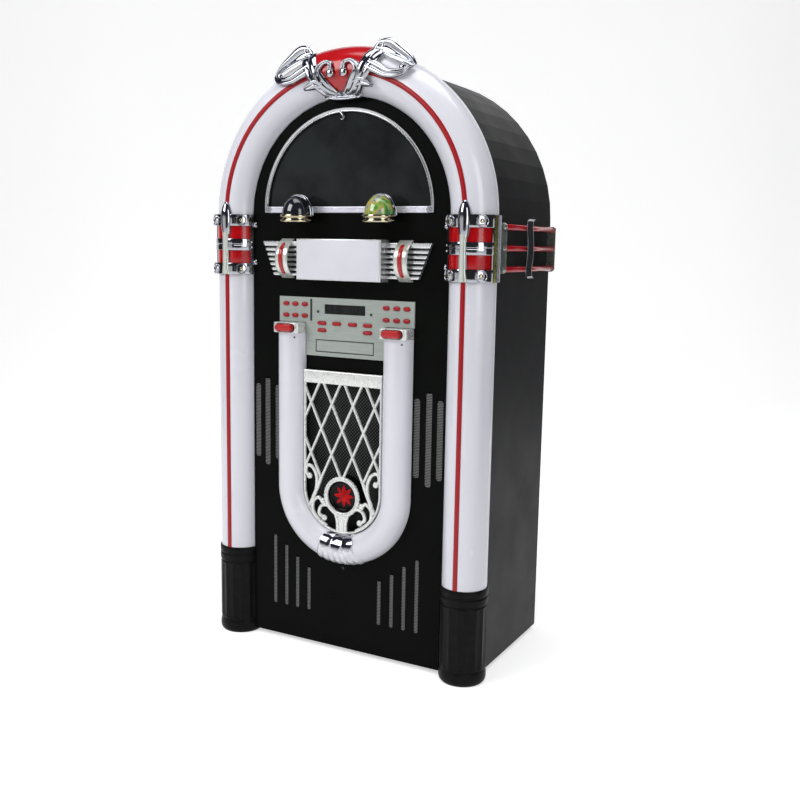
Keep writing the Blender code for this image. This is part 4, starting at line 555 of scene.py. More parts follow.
# %% Clamps
CLAMP_MIDDLE = (CLAMP_BOTTOM + CLAMP_TOP) / 2
OUTER_STRIP = finish("lavender_strip", (0.62, 0.61, 0.70), 0.25, metallic=0.6, vary=0.05, grain=60, haze=0.06)
for tag, side in SIDES:
    bands = [axis_wrap(side, band_section(low, low + CLAMP_BAND, CLAMP_INNER, CLAMP_OUTER, groove=groove),
                       CLAMP_FROM, CLAMP_TO)
             for low, groove in ((CLAMP_BOTTOM, 0.0), (CLAMP_MIDDLE - CLAMP_BAND / 2, 0.0008),
                                 (CLAMP_TOP - CLAMP_BAND, 0.0))]
    upright = band_section(CLAMP_BOTTOM + 0.002, CLAMP_TOP - 0.002, CLAMP_INNER, CLAMP_OUTER - 0.0004)
    bands += [axis_wrap(side, upright, start, end, 8)
              for start, end in ((-161.5, -153.0), (-99.0, -81.0), (-24.0, -19.0), (9.0, 35.5))]
    bands.append(bullet(side * PILLAR_X))
    # Gloss black eyes are painted shade inside the sockets, and champagne pads on them are painted
    # highlights.
    painted_shade_eyes, painted_highlight_pads = [], []
    for z in (CLAMP_BOTTOM + CLAMP_BAND / 2, CLAMP_TOP - CLAMP_BAND / 2):
        for turn in (-130.0, -50.0):
            bands.append(radial_turned(side, math.radians(turn), z, SOCKET_PROFILE))
            painted_shade_eyes.append(radial_turned(side, math.radians(turn), z, PAINTED_SHADE_EYE_PROFILE))
            painted_highlight_pads.append(radial_turned(side, math.radians(turn), z, PAINTED_HIGHLIGHT_PAD_PROFILE))
    for z in (CLAMP_MIDDLE - 0.0055, CLAMP_MIDDLE + 0.0055):
        bead = [(0.0028 * math.sin(a), 0.0514 + 0.0028 * math.cos(a))
                for a in np.radians(np.arange(100, 2, -14))]
        bands.append(radial_turned(side, math.radians(-156.5), z, bead, 20))
    make(f"clamp_frame_{tag}", bands, CHROME, stands_for=(f"clamp_{tag}",), hard=34)
    make(f"clamp_eyes_{tag}", painted_shade_eyes, GLOSS_BLACK_AND_PAINTED_SHADE)
    make(f"clamp_pads_{tag}", painted_highlight_pads, WARM_CHROME_AND_PAINTED_HIGHLIGHT)
    make(f"clamp_strip_front_{tag}", [bullet_strip(side * PILLAR_X)], STRAP_PALE,
         hard=50)
    sleeve = band_section(0.8115, 0.9315, 0.0464, 0.0480, edge=0.0004)
    make(f"clamp_sleeve_{tag}", [axis_wrap(side, sleeve, -161.0, 35.0)], RED_GLOSS,
         stands_for=(f"clamp_red_{tag}",))
    strips = [(GOLD_OLIVE, "olive", -19.0, -9.0), (OUTER_STRIP, "pale", -6.0, 9.0)]
    for finish_used, word, start, end in strips:
        thin = band_section(CLAMP_BOTTOM + 0.0004, CLAMP_TOP - 0.0004, 0.0490, 0.0526, edge=0.0006)
        make(f"clamp_strip_{word}_{tag}", [axis_wrap(side, thin, start, end, 10)], finish_used)

# %% [markdown]
# ## Side rails
#
# Three crimson rods run back along each side, held at the front and at the rear by thin brackets, with a
# bowed chrome strap over their middle. The strap is a flat section carried along a curve that hooks outward
# at both ends, where a hand would meet it.

# %% Side rails
ROD_X, ROD_LEVELS, ROD_RADIUS = 0.3225, (0.832, 0.873, 0.914), 0.0057
ROD_FRONT, ROD_REAR = -0.0886, 0.19975
RAIL_METAL = finish("rail_bracket", (0.36, 0.40, 0.36), 0.30, metallic=0.8, vary=0.10, grain=70, haze=0.07)
ROD_RED = finish("rail_red", (0.44, 0.004, 0.012), 0.20, vary=0.08, grain=30, haze=0.03, coat=0.3, bump=0.02,
                 specular=0.4)


def lengthwise(profile, x, z, sides=32):
    """A turned piece on an axis along Y: ring u has radius r(u) at depth y(u)."""
    ring = circle(1.0, sides)
    return np.array([np.column_stack([x + r * ring[:, 0], np.full(sides, y), z + r * ring[:, 1]])
                     for r, y in profile])


STRAP_LINE = through([(0.3337, 0.8143), (0.3318, 0.8156), (0.3297, 0.8200), (0.3292, 0.832), (0.3312, 0.852),
                      (0.3320, 0.873), (0.3312, 0.894), (0.3292, 0.914), (0.3297, 0.9262), (0.3318, 0.9306),
                      (0.3337, 0.9319)], 8)
t = np.linspace(0, math.tau, 24, endpoint=False)
STRAP_SECTION = np.column_stack([0.0007 * np.sin(t), 0.017 * np.sign(np.cos(t)) * np.abs(np.cos(t)) ** 0.25])
for tag, side in SIDES:
    x = side * ROD_X
    rods, metal = [], []
    for z in ROD_LEVELS:
        rods.append(lengthwise([(0.0046, ROD_FRONT + 0.006), (ROD_RADIUS, ROD_FRONT + 0.0075),
                                (ROD_RADIUS, 0.05),
                                (ROD_RADIUS, ROD_REAR - 0.0075), (0.0046, ROD_REAR - 0.006)], x, z))
        for y, away in ((ROD_FRONT, 1), (ROD_REAR, -1)):
            boss = [(0.0030, y + away * 0.0002), (0.0046, y + away * 0.0008), (0.0058, y + away * 0.0030),
                    (0.0064, y + away * 0.0060), (0.0064, y + away * 0.0078), (0.0058, y + away * 0.0088)]
            metal.append(lengthwise(boss, x, z))
    wall = side * (CABINET_HALF + HAIR)
    for y in (ROD_FRONT, ROD_REAR - 0.013):
        plate = [(wall, 0.8245), (wall, 0.9215), (side * 0.3240, 0.9215), (side * 0.3282, 0.9180),
                 (side * 0.3282, 0.8280), (side * 0.3240, 0.8245)]
        metal.append(slab_skin(plate, y + 0.0045, y + 0.0085))
    make(f"rail_rods_{tag}", rods, ROD_RED, stands_for=(f"side_rail_{tag}",))
    make(f"rail_brackets_{tag}", metal, RAIL_METAL, stands_for=(f"side_rail_{tag}",))
    line = STRAP_LINE * np.array([side, 1.0])
    make(f"rail_strap_{tag}", [front_rail(line, 0.0385, STRAP_SECTION)], CHROME,
         stands_for=(f"side_rail_{tag}",))

# %% [markdown]
# ## The crest casting
#
# Broad ribbons of chrome lie over the top of the arch, as a foundry would model them in wax: two wings, two
# closed curls, two spurs, and a pair of hooks that end in drops. Each ribbon is a smooth curve in the front
# view with a width at every point, and its depth follows the tube beneath. Its section has two rounded ribs
# with a hollow between them: lift(s) = T * (0.55 + 0.45 * sin(pi * |s|) ^ 0.8), dropping to its edge.

# %% Crest tables
CREST_REACH, CREST_FOOT, CREST_RISE, CREST_THICK = 0.162, 1.160, 0.109, 0.0055
CREST_BASE, CREST_TOP = 0.0533, 1.2686
CREST_SHARES = (
    ((0.02, 0.06, 0.06), (0.20, 0.08, 0.08), (0.31, 0.27, 0.13), (0.385, 0.50, 0.19), (0.47, 0.74, 0.20),
     (0.55, 0.967, 0.09)),
    ((0.48, 0.88, 0.12), (0.62, 0.85, 0.20), (0.76, 0.73, 0.18), (0.90, 0.60, 0.13), (0.99, 0.49, 0.05)),
    ((0.97, 0.48, 0.05), (0.85, 0.36, 0.10), (0.68, 0.36, 0.12), (0.54, 0.46, 0.15), (0.42, 0.55, 0.15)),
    ((0.22, 0.22, 0.10), (0.33, 0.25, 0.12), (0.42, 0.21, 0.08), (0.49, 0.17, 0.03)),
    ((0.30, 0.40, 0.09), (0.26, 0.54, 0.075), (0.18, 0.625, 0.06), (0.105, 0.60, 0.06), (0.09, 0.52, 0.075),
     (0.09, 0.43, 0.10), (0.09, 0.36, 0.05)),
    ((0.275, 0.46, 0.09), (0.245, 0.33, 0.14), (0.165, 0.17, 0.14), (0.07, 0.065, 0.09)))
CREST_BAR = ((-0.235, 0.05, 0.055), (-0.1, 0.025, 0.06), (0.1, 0.025, 0.06), (0.235, 0.05, 0.055))


def over_tube(x, z, radius):
    """depth(x, z) = axis - sqrt(radius^2 - off^2), off being the distance to the arch's centre line."""
    off = np.minimum(np.abs(np.hypot(x, z - SPRING_Z) - PILLAR_X), 0.86 * radius)
    return PILLAR_Y - np.sqrt(radius ** 2 - off ** 2)


def ribbon(shares, side, steps=12, lift=0.0):
    """A ribbon leaf: its front has two rounded ribs, and its back lies a hair over the tube and the dome."""
    path = through([(side * x * CREST_REACH, CREST_FOOT + z * CREST_RISE, w * CREST_REACH)
                    for x, z, w in shares], steps)
    ahead = np.gradient(path[:, :2], axis=0)
    ahead /= np.linalg.norm(ahead, axis=1)[:, None]
    across = np.column_stack([-ahead[:, 1], ahead[:, 0]])
    s = np.sin(np.linspace(-90, 90, 29) * math.pi / 180)
    rise = (0.55 + 0.45 * np.sin(math.pi * np.abs(s)) ** 0.8) * (1 - np.abs(s) ** 8 * 0.75)
    reach = np.concatenate([s, s[::-4]])
    height = np.concatenate([rise, np.zeros(len(s[::-4]))])
    x = path[:, :1] + across[:, :1] * reach * path[:, 2:] / 2
    z = path[:, 1:2] + across[:, 1:] * reach * path[:, 2:] / 2
    thick = np.minimum(CREST_THICK, path[:, 2:] * 0.62)
    return np.stack([x, over_tube(x, z, CREST_BASE) - lift - height * thick, np.minimum(z, CREST_TOP)],
                    axis=-1)


def ball(x, y, z, radius, squash=1.0):
    """A drop: rings of a sphere whose front half stands toward the viewer."""
    tilt = np.radians(np.linspace(-86, 86, 15))
    ring = circle(1.0, 24)
    return np.array([np.column_stack([x + radius * math.cos(a) * ring[:, 0],
                                      np.full(24, y - radius * squash * math.sin(a)),
                                      z + radius * math.cos(a) * ring[:, 1]]) for a in tilt])


def crest_depth(x, z, proud):
    """The depth of a point that stands proud of the ribbons' back."""
    return float(over_tube(np.array(x), np.array(z), CREST_BASE)) - proud


# %% Crest and dome
skins = [ribbon(CREST_BAR, 1)]
for side in (-1, 1):
    for index, shares in enumerate(CREST_SHARES):
        skins.append(ribbon(shares, side, lift=0.00006 * (2 * index + (side + 1) / 2)))
    drop_x, drop_z = side * 0.0155, 1.2065
    skins.append(ball(drop_x, crest_depth(drop_x, drop_z, 0.0030), drop_z, 0.0086, 0.50))
    curl_x, curl_z = side * 0.141, 1.2085
    skins.append(ball(curl_x, crest_depth(curl_x, curl_z, 0.0026), curl_z, 0.0070, 0.55))
    end_x, end_z = side * 0.036, 1.1655
    skins.append(ball(end_x, crest_depth(end_x, end_z, 0.0016), end_z, 0.0062, 0.55))
make("crest_casting", skins, CHROME, stands_for=("crest",), hard=50)
# Small dark dots on the two spur ends are painted shade where holes would be.
painted_shade_holes = [ball(side * 0.036, crest_depth(0.036, 1.1655, 0.0048), 1.1655, 0.0030, 0.20) for side in (-1, 1)]
make("crest_holes", painted_shade_holes, DARK_PLASTIC_AND_PAINTED_SHADE)


DOME_OUTER, DOME_INNER, DOME_HALF_TURN, DOME_FOOT_TILT = 0.0521, 0.0490, 14.0, -46.0


def dome_shell(radius, half_turn, from_tilt, to_tilt, steps=36):
    """point(u, v) on the arch tube's skin grown to a radius: u runs along the arch and v round the tube.

    Below v = -8 degrees the shell narrows, down to 1 - 0.55 of its width, to fit the V of the casting.
    """
    v = np.linspace(from_tilt, to_tilt, steps + 1)[None, :]
    narrow = 1 - 0.55 * np.clip((-8 - v) / 33, 0, 1)
    u = np.radians(90 + np.linspace(half_turn, -half_turn, steps + 1)[:, None] * narrow)
    v = np.radians(v)
    reach = PILLAR_X + radius * np.sin(v)
    return np.stack([reach * np.cos(u), PILLAR_Y - radius * np.cos(v) + 0 * u, SPRING_Z + reach * np.sin(u)],
                    axis=-1)


dome_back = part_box("crest_dome")[1][1]
tilt_high = math.degrees(math.acos(max(-0.99, (PILLAR_Y - dome_back) / 0.0500)))
outer = dome_shell(DOME_OUTER, DOME_HALF_TURN, DOME_FOOT_TILT, tilt_high)
inner = dome_shell(DOME_INNER, DOME_HALF_TURN - 0.4, DOME_FOOT_TILT + 0.4, tilt_high - 0.6)
closed_section = np.concatenate([outer, inner[:, ::-1]], axis=1)
make("crest_dome_skin", [closed_section], RED_GLOSS, stands_for=("crest_dome",), hard=45)
print("dome tilt reaches", round(tilt_high, 1))

# %% [markdown]
# ## The window, its trim and its corners
#
# The half-round window is smoked glass behind a silver ring, with a sill along its foot. The ring is a
# turned section bent round half a circle: a rounded outer lip, a groove, and a second thin inner line.

# %% Window trim
WINDOW_Z, WINDOW_RADIUS, TRIM_BACK = 0.945, 0.200, -0.13905
RING_SECTION = [(-0.0074, -0.0002), (-0.0074, 0.0014), (-0.0068, 0.0022), (-0.0060, 0.0022),
                (-0.0054, 0.0012), (-0.0046, 0.0010), (-0.0036, 0.0026), (-0.0018, 0.0035), (0.0, 0.0036),
                (-0.0002, 0.0030), (-0.0001, 0.0)]
SILL_SECTION = [(-0.0064, 0.0), (-0.0064, 0.0016), (-0.0054, 0.0030), (-0.0040, 0.0036), (0.0006, 0.0036),
                (0.0014, 0.0022), (0.0034, 0.0022), (0.0042, 0.0034), (0.0056, 0.0032), (0.0064, 0.0020),
                (0.0064, 0.0)]
TRIM_SILVER = finish("trim_silver", (0.50, 0.51, 0.52), 0.24, metallic=0.85, vary=0.05, grain=60, haze=0.05,
                     bump=0.04)
SILL_PALE = finish("sill_pale", (0.74, 0.73, 0.82), 0.25, metallic=0.25, vary=0.04, grain=40, haze=0.05,
                   bump=0.03)
half_ring = arc(0, WINDOW_Z, WINDOW_RADIUS - 0.0002, 178.2, 1.8, 128)
make("window_ring", [front_rail(half_ring, TRIM_BACK, RING_SECTION)], TRIM_SILVER,
     stands_for=("window_trim",), hard=35)
sill_line = np.column_stack([np.linspace(-0.1925, 0.1925, 40), np.full(40, WINDOW_Z)])
make("window_sill", [front_rail(sill_line, TRIM_BACK, SILL_SECTION)], SILL_PALE, stands_for=("window_trim",),
     hard=35)
corners = []
for side in (-1, 1):
    corner = [(side * 0.1998, 0.9388), (side * 0.1998, 0.9560), (side * 0.1975, 0.9640),
              (side * 0.1940, 0.9530),
              (side * 0.1860, 0.9515), (side * 0.1820, 0.9450), (side * 0.1850, 0.9388)]
    corners.append(slab_skin(corner, -0.14272, TRIM_BACK))
    corners.append(lengthwise([(0.0040, -0.13910), (0.0040, -0.14245), (0.0036, -0.14272), (0.0026, -0.14272),
                               (0.0023, -0.1424), (0.0022, -0.1412)], side * 0.1925, 0.9456))
hook = through([(-0.0160, 1.1385, 0.0016), (-0.0105, 1.1335, 0.0022), (-0.0080, 1.1280, 0.0022),
                (-0.0100, 1.1235, 0.0016), (-0.0135, 1.1245, 0.0008)], 8)
loop = circle(1.0, 12)
corners.append(np.stack([np.column_stack([x + w * loop[:, 0], np.full(12, -0.1408) + w * 0.6 * loop[:, 1],
                                          np.full(12, z) + w * 0.9 * loop[:, 1]]) for x, z, w in hook]))
make("window_corners", corners, CHROME, stands_for=("window_trim",))

# %% [markdown]
# ## Dome lamps
#
# A glass dome stands on a champagne base of two steps, under a hoop with two raised edges. The dome is a
# quarter ellipse turned about its axis; the hoop is a double-banded section carried over the same ellipse.

# %% Lamps
LAMP_X, LAMP_Y, LAMP_FOOT = 0.097, -0.17425, 0.9332
LAMP_RADIUS, LAMP_RISE, HOOP_SETBACK = 0.0303, 0.0384, 0.0060
BASE_PROFILE = ((0.0300, 0.9183), (0.0322, 0.9184), (0.0338, 0.9192), (0.0344, 0.9206), (0.0344, 0.9220),
                (0.0338, 0.9232), (0.0322, 0.9237), (0.0306, 0.9238), (0.0303, 0.9250), (0.0303, 0.9266),
                (0.0306, 0.9277), (0.0322, 0.9278), (0.0338, 0.9284), (0.0344, 0.9298), (0.0344, 0.9312),
                (0.0338, 0.9326), (0.0324, 0.9331), (0.0312, 0.9331))
HOOP_SECTION = [(-0.0054, 0.0), (-0.0054, 0.0018), (-0.0046, 0.0025), (-0.0034, 0.0025), (-0.0022, 0.0012),
                (0.0, 0.0009), (0.0022, 0.0012), (0.0034, 0.0025), (0.0046, 0.0025), (0.0054, 0.0018),
                (0.0054, 0.0)]
for tag, side in SIDES:
    x = side * LAMP_X
    a = np.radians(np.linspace(0, 89, 28))
    dome = np.column_stack([LAMP_RADIUS * np.cos(a), LAMP_FOOT + 0.0003 + LAMP_RISE * np.sin(a)])
    # The right dome's glass carries painted coloured glints; the left one is plain dark glass.
    make(f"lamp_dome_skin_{tag}", [turned(dome, x, LAMP_Y, 64)], DOME_GLASS_AND_PAINTED_GLINTS[tag],
         stands_for=(f"lamp_dome_{tag}",))
    arm = [(x - 0.0148, 0.9187), (x + 0.0148, 0.9187), (x + 0.0148, 0.9235), (x + 0.0135, 0.9252),
           (x + 0.0148, 0.9270),
           (x + 0.0148, 0.9328), (x - 0.0148, 0.9328), (x - 0.0148, 0.9270), (x - 0.0135, 0.9252),
           (x - 0.0148, 0.9235)]
    a = np.radians(np.linspace(0, 180, 49))
    section = np.array(HOOP_SECTION)
    reach, rise = 0.0312 + section[:, 1], 0.0393 + section[:, 1]
    hoop = np.stack([x + np.cos(a)[:, None] * reach, LAMP_Y + HOOP_SETBACK + section[:, 0] + 0 * a[:, None],
                     LAMP_FOOT - 0.0001 + np.sin(a)[:, None] * rise], axis=-1)
    skins = [turned(BASE_PROFILE, x, LAMP_Y, 72), slab_skin(arm, LAMP_Y, TRIM_BACK)]
    knob_tilt = math.radians(24)
    knob = (x + 0.0330 * math.cos(knob_tilt), LAMP_Y + HOOP_SETBACK, LAMP_FOOT + 0.0405 * math.sin(knob_tilt))
    make(f"lamp_hoop_{tag}", [hoop, ball(knob[0], knob[1] - 0.0050, knob[2], 0.0026, 0.8)], CHROME,
         stands_for=(f"lamp_base_{tag}",), hard=40)
    make(f"lamp_stand_{tag}", skins, WARM_CHROME_AND_PAINTED_HIGHLIGHT, stands_for=(f"lamp_base_{tag}",),
         hard=40)

# %% [markdown]
# ## Wings and the bare plate
#
# On each side of the plate a fan of seven louvres stands on a web, crossed by a strap that bows forward like
# a spring. The strap's bow is front(s) = back - T - (proud - T) * (1 - |s|^2.5), with s from -1 at the foot
# to 1 at the top. A red half-round bar follows the strap's bow.

# %% Wings
WING_LOW, WING_HIGH, LOUVRES, WING_FRONT, WING_WEB = 0.809, 0.880, 7, -0.15075, -0.14175
WING_INNER, WING_OUTER_LOW, WING_OUTER_HIGH = 0.1003, 0.172, 0.200
STRAP_X, STRAP_MIDDLE, STRAP_HALF_HEIGHT = 0.141, 0.8445, 0.041
STRAP_BACK, STRAP_THICK, STRAP_FRONT, BAR_FRONT = -0.13935, 0.0035, -0.1700, -0.1734
LOUVRE_SILVER = finish("louvre_silver", (0.70, 0.71, 0.72), 0.24, metallic=0.8, vary=0.06, grain=60,
                       haze=0.06)


def bowed(x, half_height, half_width, front, crown, taper, steps=48):
    """The strap's or the bar's skin: rings up its height, a flat back and a crowned front, on one bow."""
    s = np.sin(np.linspace(-math.pi / 2, math.pi / 2, steps + 1))[:, None]
    t = np.linspace(0, math.pi, 15)[None, :]
    bow = 1 - np.abs(s * half_height / STRAP_HALF_HEIGHT) ** 2.5
    face = STRAP_BACK - STRAP_THICK + (front - STRAP_BACK + STRAP_THICK) * bow
    narrow = np.sqrt(np.clip(1 - np.clip((np.abs(s) - 1 + taper) / max(taper, 1e-6), 0, 1) ** 2, 0.02, 1))
    across = half_width * narrow * np.sign(np.cos(t)) * np.abs(np.cos(t)) ** 0.7
    front_y = face + crown * (1 - np.sin(t) ** 0.6)
    rear_y = np.broadcast_to(np.minimum(face + crown + STRAP_THICK * 0.6, STRAP_BACK), (steps + 1, 2))
    x_all = x + np.concatenate([across, half_width * narrow * np.array([[-1.0, 1.0]])], axis=1)
    y_all = np.concatenate([front_y, rear_y], axis=1)
    z_all = np.broadcast_to(STRAP_MIDDLE + s * half_height, x_all.shape)
    return np.stack([x_all, y_all, z_all], axis=-1)


pitch = (WING_HIGH - WING_LOW) / LOUVRES
for tag, side in SIDES:
    skins = []
    for index in range(LOUVRES):
        low = WING_LOW + index * pitch
        high = low + pitch * 0.58 if index < LOUVRES - 1 else WING_HIGH
        section = [(low, -0.1400), (low, WING_FRONT + 0.0012), (low + 0.0008, WING_FRONT + 0.0002),
                   (low + 0.0018, WING_FRONT),
                   (high - 0.0018, WING_FRONT), (high - 0.0008, WING_FRONT + 0.0002),
                   (high, WING_FRONT + 0.0012), (high, -0.1400)]
        z, y = np.array(section).T
        outer = WING_OUTER_LOW + (WING_OUTER_HIGH - WING_OUTER_LOW) * (z - WING_LOW) / (WING_HIGH - WING_LOW)
        share = np.array([0.0, 0.97, 0.99, 1.0])[:, None]
        soften_end = np.array([0.0, 0.0, 0.0004, 0.0012])[:, None]
        x = side * (WING_INNER + (outer - WING_INNER) * share)
        skins.append(np.stack([x, np.minimum(y + soften_end, -0.1400), z + 0 * x], axis=-1))
    web = [(side * WING_INNER, WING_LOW), (side * WING_OUTER_LOW, WING_LOW),
           (side * WING_OUTER_HIGH, WING_HIGH), (side * WING_INNER, WING_HIGH)]
    make(f"wing_web_{tag}", [slab_skin(web, WING_WEB, -0.13910)], DARK_PLASTIC_AND_PAINTED_SHADE, stands_for=(f"wing_{tag}",))
    make(f"wing_louvres_{tag}", skins, LOUVRE_SILVER, stands_for=(f"wing_{tag}",))
    x = side * STRAP_X
    strap = [bowed(x, STRAP_HALF_HEIGHT, 0.0150, STRAP_FRONT, 0.0016, 0.0)]
    for z in (STRAP_MIDDLE - STRAP_HALF_HEIGHT + 0.0030, STRAP_MIDDLE + STRAP_HALF_HEIGHT - 0.0030):
        lip = np.column_stack([np.linspace(x - 0.0146, x + 0.0146, 9), np.full(9, z)])
        strap.append(front_rail(lip, STRAP_BACK - 0.0010, circle(0.0028, 16)))
    make(f"wing_strap_{tag}", strap, STRAP_PALE, stands_for=(f"wing_{tag}",), hard=50)
    make(f"wing_bar_{tag}", [bowed(x, 0.0325, 0.0046, BAR_FRONT, 0.0032, 0.15)], RED_GLOSS,
         stands_for=(f"wing_{tag}",), hard=60)

# %% The plate


def cushion(low, high, front, rear, radius, steps=6):
    """A plate whose front edge is a quarter circle: inset(a) = r - r cos a, depth(a) = r - r sin a."""
    rings = []
    for y, inset in [(rear, 0.0)] + [(front + radius - radius * math.sin(a), radius - radius * math.cos(a))
                                     for a in np.radians(np.linspace(0, 90, steps + 1))]:
        (x0, z0), (x1, z1) = (low[0] + inset, low[1] + inset), (high[0] - inset, high[1] - inset)
        rings.append([(x0, y, z0), (x1, y, z0), (x1, y, z1), (x0, y, z1)])
    return np.array(rings)


make("plate_body", [cushion((-0.0999, 0.8021), (0.0999, 0.8859), -0.1725, TRIM_BACK, 0.0020)], LOUVRE_SILVER,
     stands_for=("name_plate",))
make("plate_face", [cushion((-0.0985, 0.8034), (0.0985, 0.8846), -0.17472, -0.1710, 0.0030)], PLATE_WHITE,
     stands_for=("name_plate",))

# %% [markdown]
# ## Buttons that travel
#
# Each button is one moulding: a domed oval cap with a flange behind the panel that keeps it in. The cap rides
# its own body, so a press moves it 1.5 mm. The dome is a quarter-ellipse: proud(a) grows as inset(a) shrinks.

# %% Buttons
PANEL_FACE, BUTTON_REAR = -0.14225, -0.13725
BUTTON_RED = finish("button_red", (0.36, 0.004, 0.010), 0.26, vary=0.10, grain=70, haze=0.04, bump=0.02,
                    specular=0.35)


def stadium(x, z, width, height, steps=10):
    """An oval with straight sides: two half circles joined by straight runs, as (x, z) points."""
    r, half = height / 2, (width - height) / 2
    right_end = arc(x + half, z, r, -90, 90, steps)
    return np.vstack([right_end, arc(x - half, z, r, 90, 270, steps)])


def button_skin(x, z, width, height, front):
    """Rings of one button: the flange, the neck, and a domed cap."""
    stops = [(BUTTON_REAR, 0.0012), (BUTTON_REAR - 0.0012, 0.0012), (BUTTON_REAR - 0.0012, -0.0001),
             (PANEL_FACE, -0.0001), (front + 0.0018, -0.0002)]
    stops += [(front + 0.0018 * (1 - math.sin(a)), -0.0002 - 0.0028 * (1 - math.cos(a)))
              for a in np.radians((20, 40, 60, 75, 85))]
    rings = []
    for y, grow in stops:
        outline = stadium(x, z, width + 2 * grow, height + 2 * grow)
        rings.append(np.column_stack([outline[:, 0], np.full(len(outline), y), outline[:, 1]]))
    return np.array(rings)


for tag in [f"{bank}{number}" for bank in "abc" for number in range(1, 7)]:
    low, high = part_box(f"button_{tag}")
    x, z = (low.x + high.x) / 2, (low.z + high.z) / 2
    size = (0.022, 0.008) if tag[0] == "c" else (0.016, 0.009)
    make(f"button_cap_{tag}", [button_skin(x, z, *size, low.y)], BUTTON_RED, body=f"button_{tag}",
         stands_for=(f"button_{tag}",))

# %% The panel's small parts
marks = []
for x, z in ((-0.065, 0.736), (0.063, 0.735)):
    marks.append(lengthwise([(0.0030, PANEL_FACE), (0.0030, PANEL_FACE - 0.0004),
                             (0.0024, PANEL_FACE - 0.0008), (0.0010, PANEL_FACE - 0.0006)], x, z, 20))
marks.append(slab_skin([(-0.0845, 0.716), (-0.0795, 0.716), (-0.0795, 0.762), (-0.0845, 0.762)],
                       PANEL_FACE - 0.0003, PANEL_FACE, 0.0001))
frame_line = [(-0.0695, 0.6525), (0.0695, 0.6525), (0.0695, 0.6775), (-0.0695, 0.6775)]
for (x0, z0), (x1, z1) in zip(frame_line, frame_line[1:] + frame_line[:1]):
    low, high = (min(x0, x1) - 0.0008, min(z0, z1) - 0.0008), (max(x0, x1) + 0.0008, max(z0, z1) + 0.0008)
    marks.append(slab_skin([low, (high[0], low[1]), high, (low[0], high[1])], PANEL_FACE - 0.0002, PANEL_FACE,
                           0.00005))
make("panel_marks", marks, DARK_PLASTIC_AND_PAINTED_SHADE)
dress(PANEL_SILVER, "control_panel", "disc_tray")
dress(DISPLAY_GLASS, "display_lens")
dress(CIRCUIT, "button_board")

# %% [markdown]
# ## The U tube, its shell and its clip
#
# A half-round tube of milky plastic runs down, round and up again. At its foot a pearly shell with seven ribs
# wraps it: reach(a) = R + 1.2 mm + 1.8 mm * |cos(7 pi s)| with s from 0 to 1 across the shell. Over the
# shell's upper half sits a chrome clip with three leaves.

# %% U tube
U_HALF, U_RADIUS, U_MIDDLE_Z, U_TOP, U_BACK = 0.128, 0.032, 0.363, 0.690, -0.13905
U_LINE = np.vstack([np.column_stack([np.full(14, -U_HALF), np.linspace(U_TOP, U_MIDDLE_Z + 0.004, 14)]),
                    arc(0, U_MIDDLE_Z, U_HALF, 180, 360, 96),
                    np.column_stack([np.full(14, U_HALF), np.linspace(U_MIDDLE_Z + 0.004, U_TOP, 14)])])
t = np.linspace(0, math.pi, 41)
HALF_ROUND = np.column_stack([U_RADIUS * np.cos(t), U_RADIUS * np.sin(t)])
make("u_tube_skin", [front_rail(U_LINE, U_BACK, HALF_ROUND)], TUBE_WHITE, stands_for=("u_tube",),
     hard=60)


def u_wrap(from_turn, to_turn, from_tilt, to_tilt, lift, steps=150, rounds=32):
    """point(s, v) on the U's foot: reach R + lift(s, v), turn(s) round the U, tilt(v) round the tube."""
    s = np.linspace(0, 1, steps + 1)[:, None]
    v = np.linspace(0, 1, rounds + 1)[None, :]
    turn = np.radians(from_turn + (to_turn - from_turn) * s)
    tilt = np.radians(from_tilt + (to_tilt - from_tilt) * v)
    outer = U_RADIUS + lift(s, v)
    inner = np.full_like(outer, U_RADIUS - 0.0006)
    reach = np.concatenate([outer, inner[:, ::-1]], axis=1)
    around = np.concatenate([tilt, tilt[:, ::-1]], axis=1)
    out = U_HALF + reach * np.cos(around)
    return np.stack([out * np.cos(turn), U_BACK - reach * np.sin(around), U_MIDDLE_Z + out * np.sin(turn)],
                    axis=-1)


def shell_lift(s, v):
    """Seven rounded ribs across the shell, drawn down to nothing at both ends."""
    ends = np.clip(np.minimum(s, 1 - s) / 0.03, 0, 1) ** 0.5
    return (0.0006 + 0.0022 * np.abs(np.cos(7 * math.pi * (s - 0.5)))) * ends + 0 * v


def clip_lift(s, v):
    """Three leaves: a cosine across s, lowest where leaves meet, and a lip at the upper edge."""
    leaves = 0.0030 + 0.0009 * np.abs(np.cos(1.5 * math.pi * (2 * s - 1)))
    return leaves + 0.0004 * np.cos(math.pi * v) + 0 * s


make("u_shell", [u_wrap(250, 290, 2, 178, shell_lift)], PEARL, stands_for=("u_tube",),
     hard=50)


def clip_skin():
    """The clip's half width grows from 11 degrees at its top to 20, then closes in three points."""
    s = np.linspace(-1, 1, 73)[:, None]
    v = np.linspace(0, 1, 25)
    spread = 0.52 + 0.48 * np.sin(np.clip(v * 1.25, 0, 1) * math.pi / 2)
    turn = np.radians(270 + 20.5 * s * spread[None, :])
    point = 0.72 + 0.28 * np.abs(np.cos(1.5 * math.pi * s))
    tilt = np.radians(172 - 80 * v[None, :] * point)
    outer = U_RADIUS + clip_lift((s + 1) / 2, v[None, :])
    rings = []
    for reach in (outer, np.full_like(outer, U_RADIUS - 0.0004)):
        out = U_HALF + reach * np.cos(tilt)
        rings.append(np.stack([out * np.cos(turn), U_BACK - reach * np.sin(tilt),
                               U_MIDDLE_Z + out * np.sin(turn)], axis=-1))
    return np.concatenate([rings[0], rings[1][:, ::-1]], axis=1)


make("u_clip", [clip_skin()], CHROME, hard=50)

# %% Caps and jewels
CAP_LOW, CAP_HIGH, CAP_FRONT = 0.6903, 0.7113, -0.17275


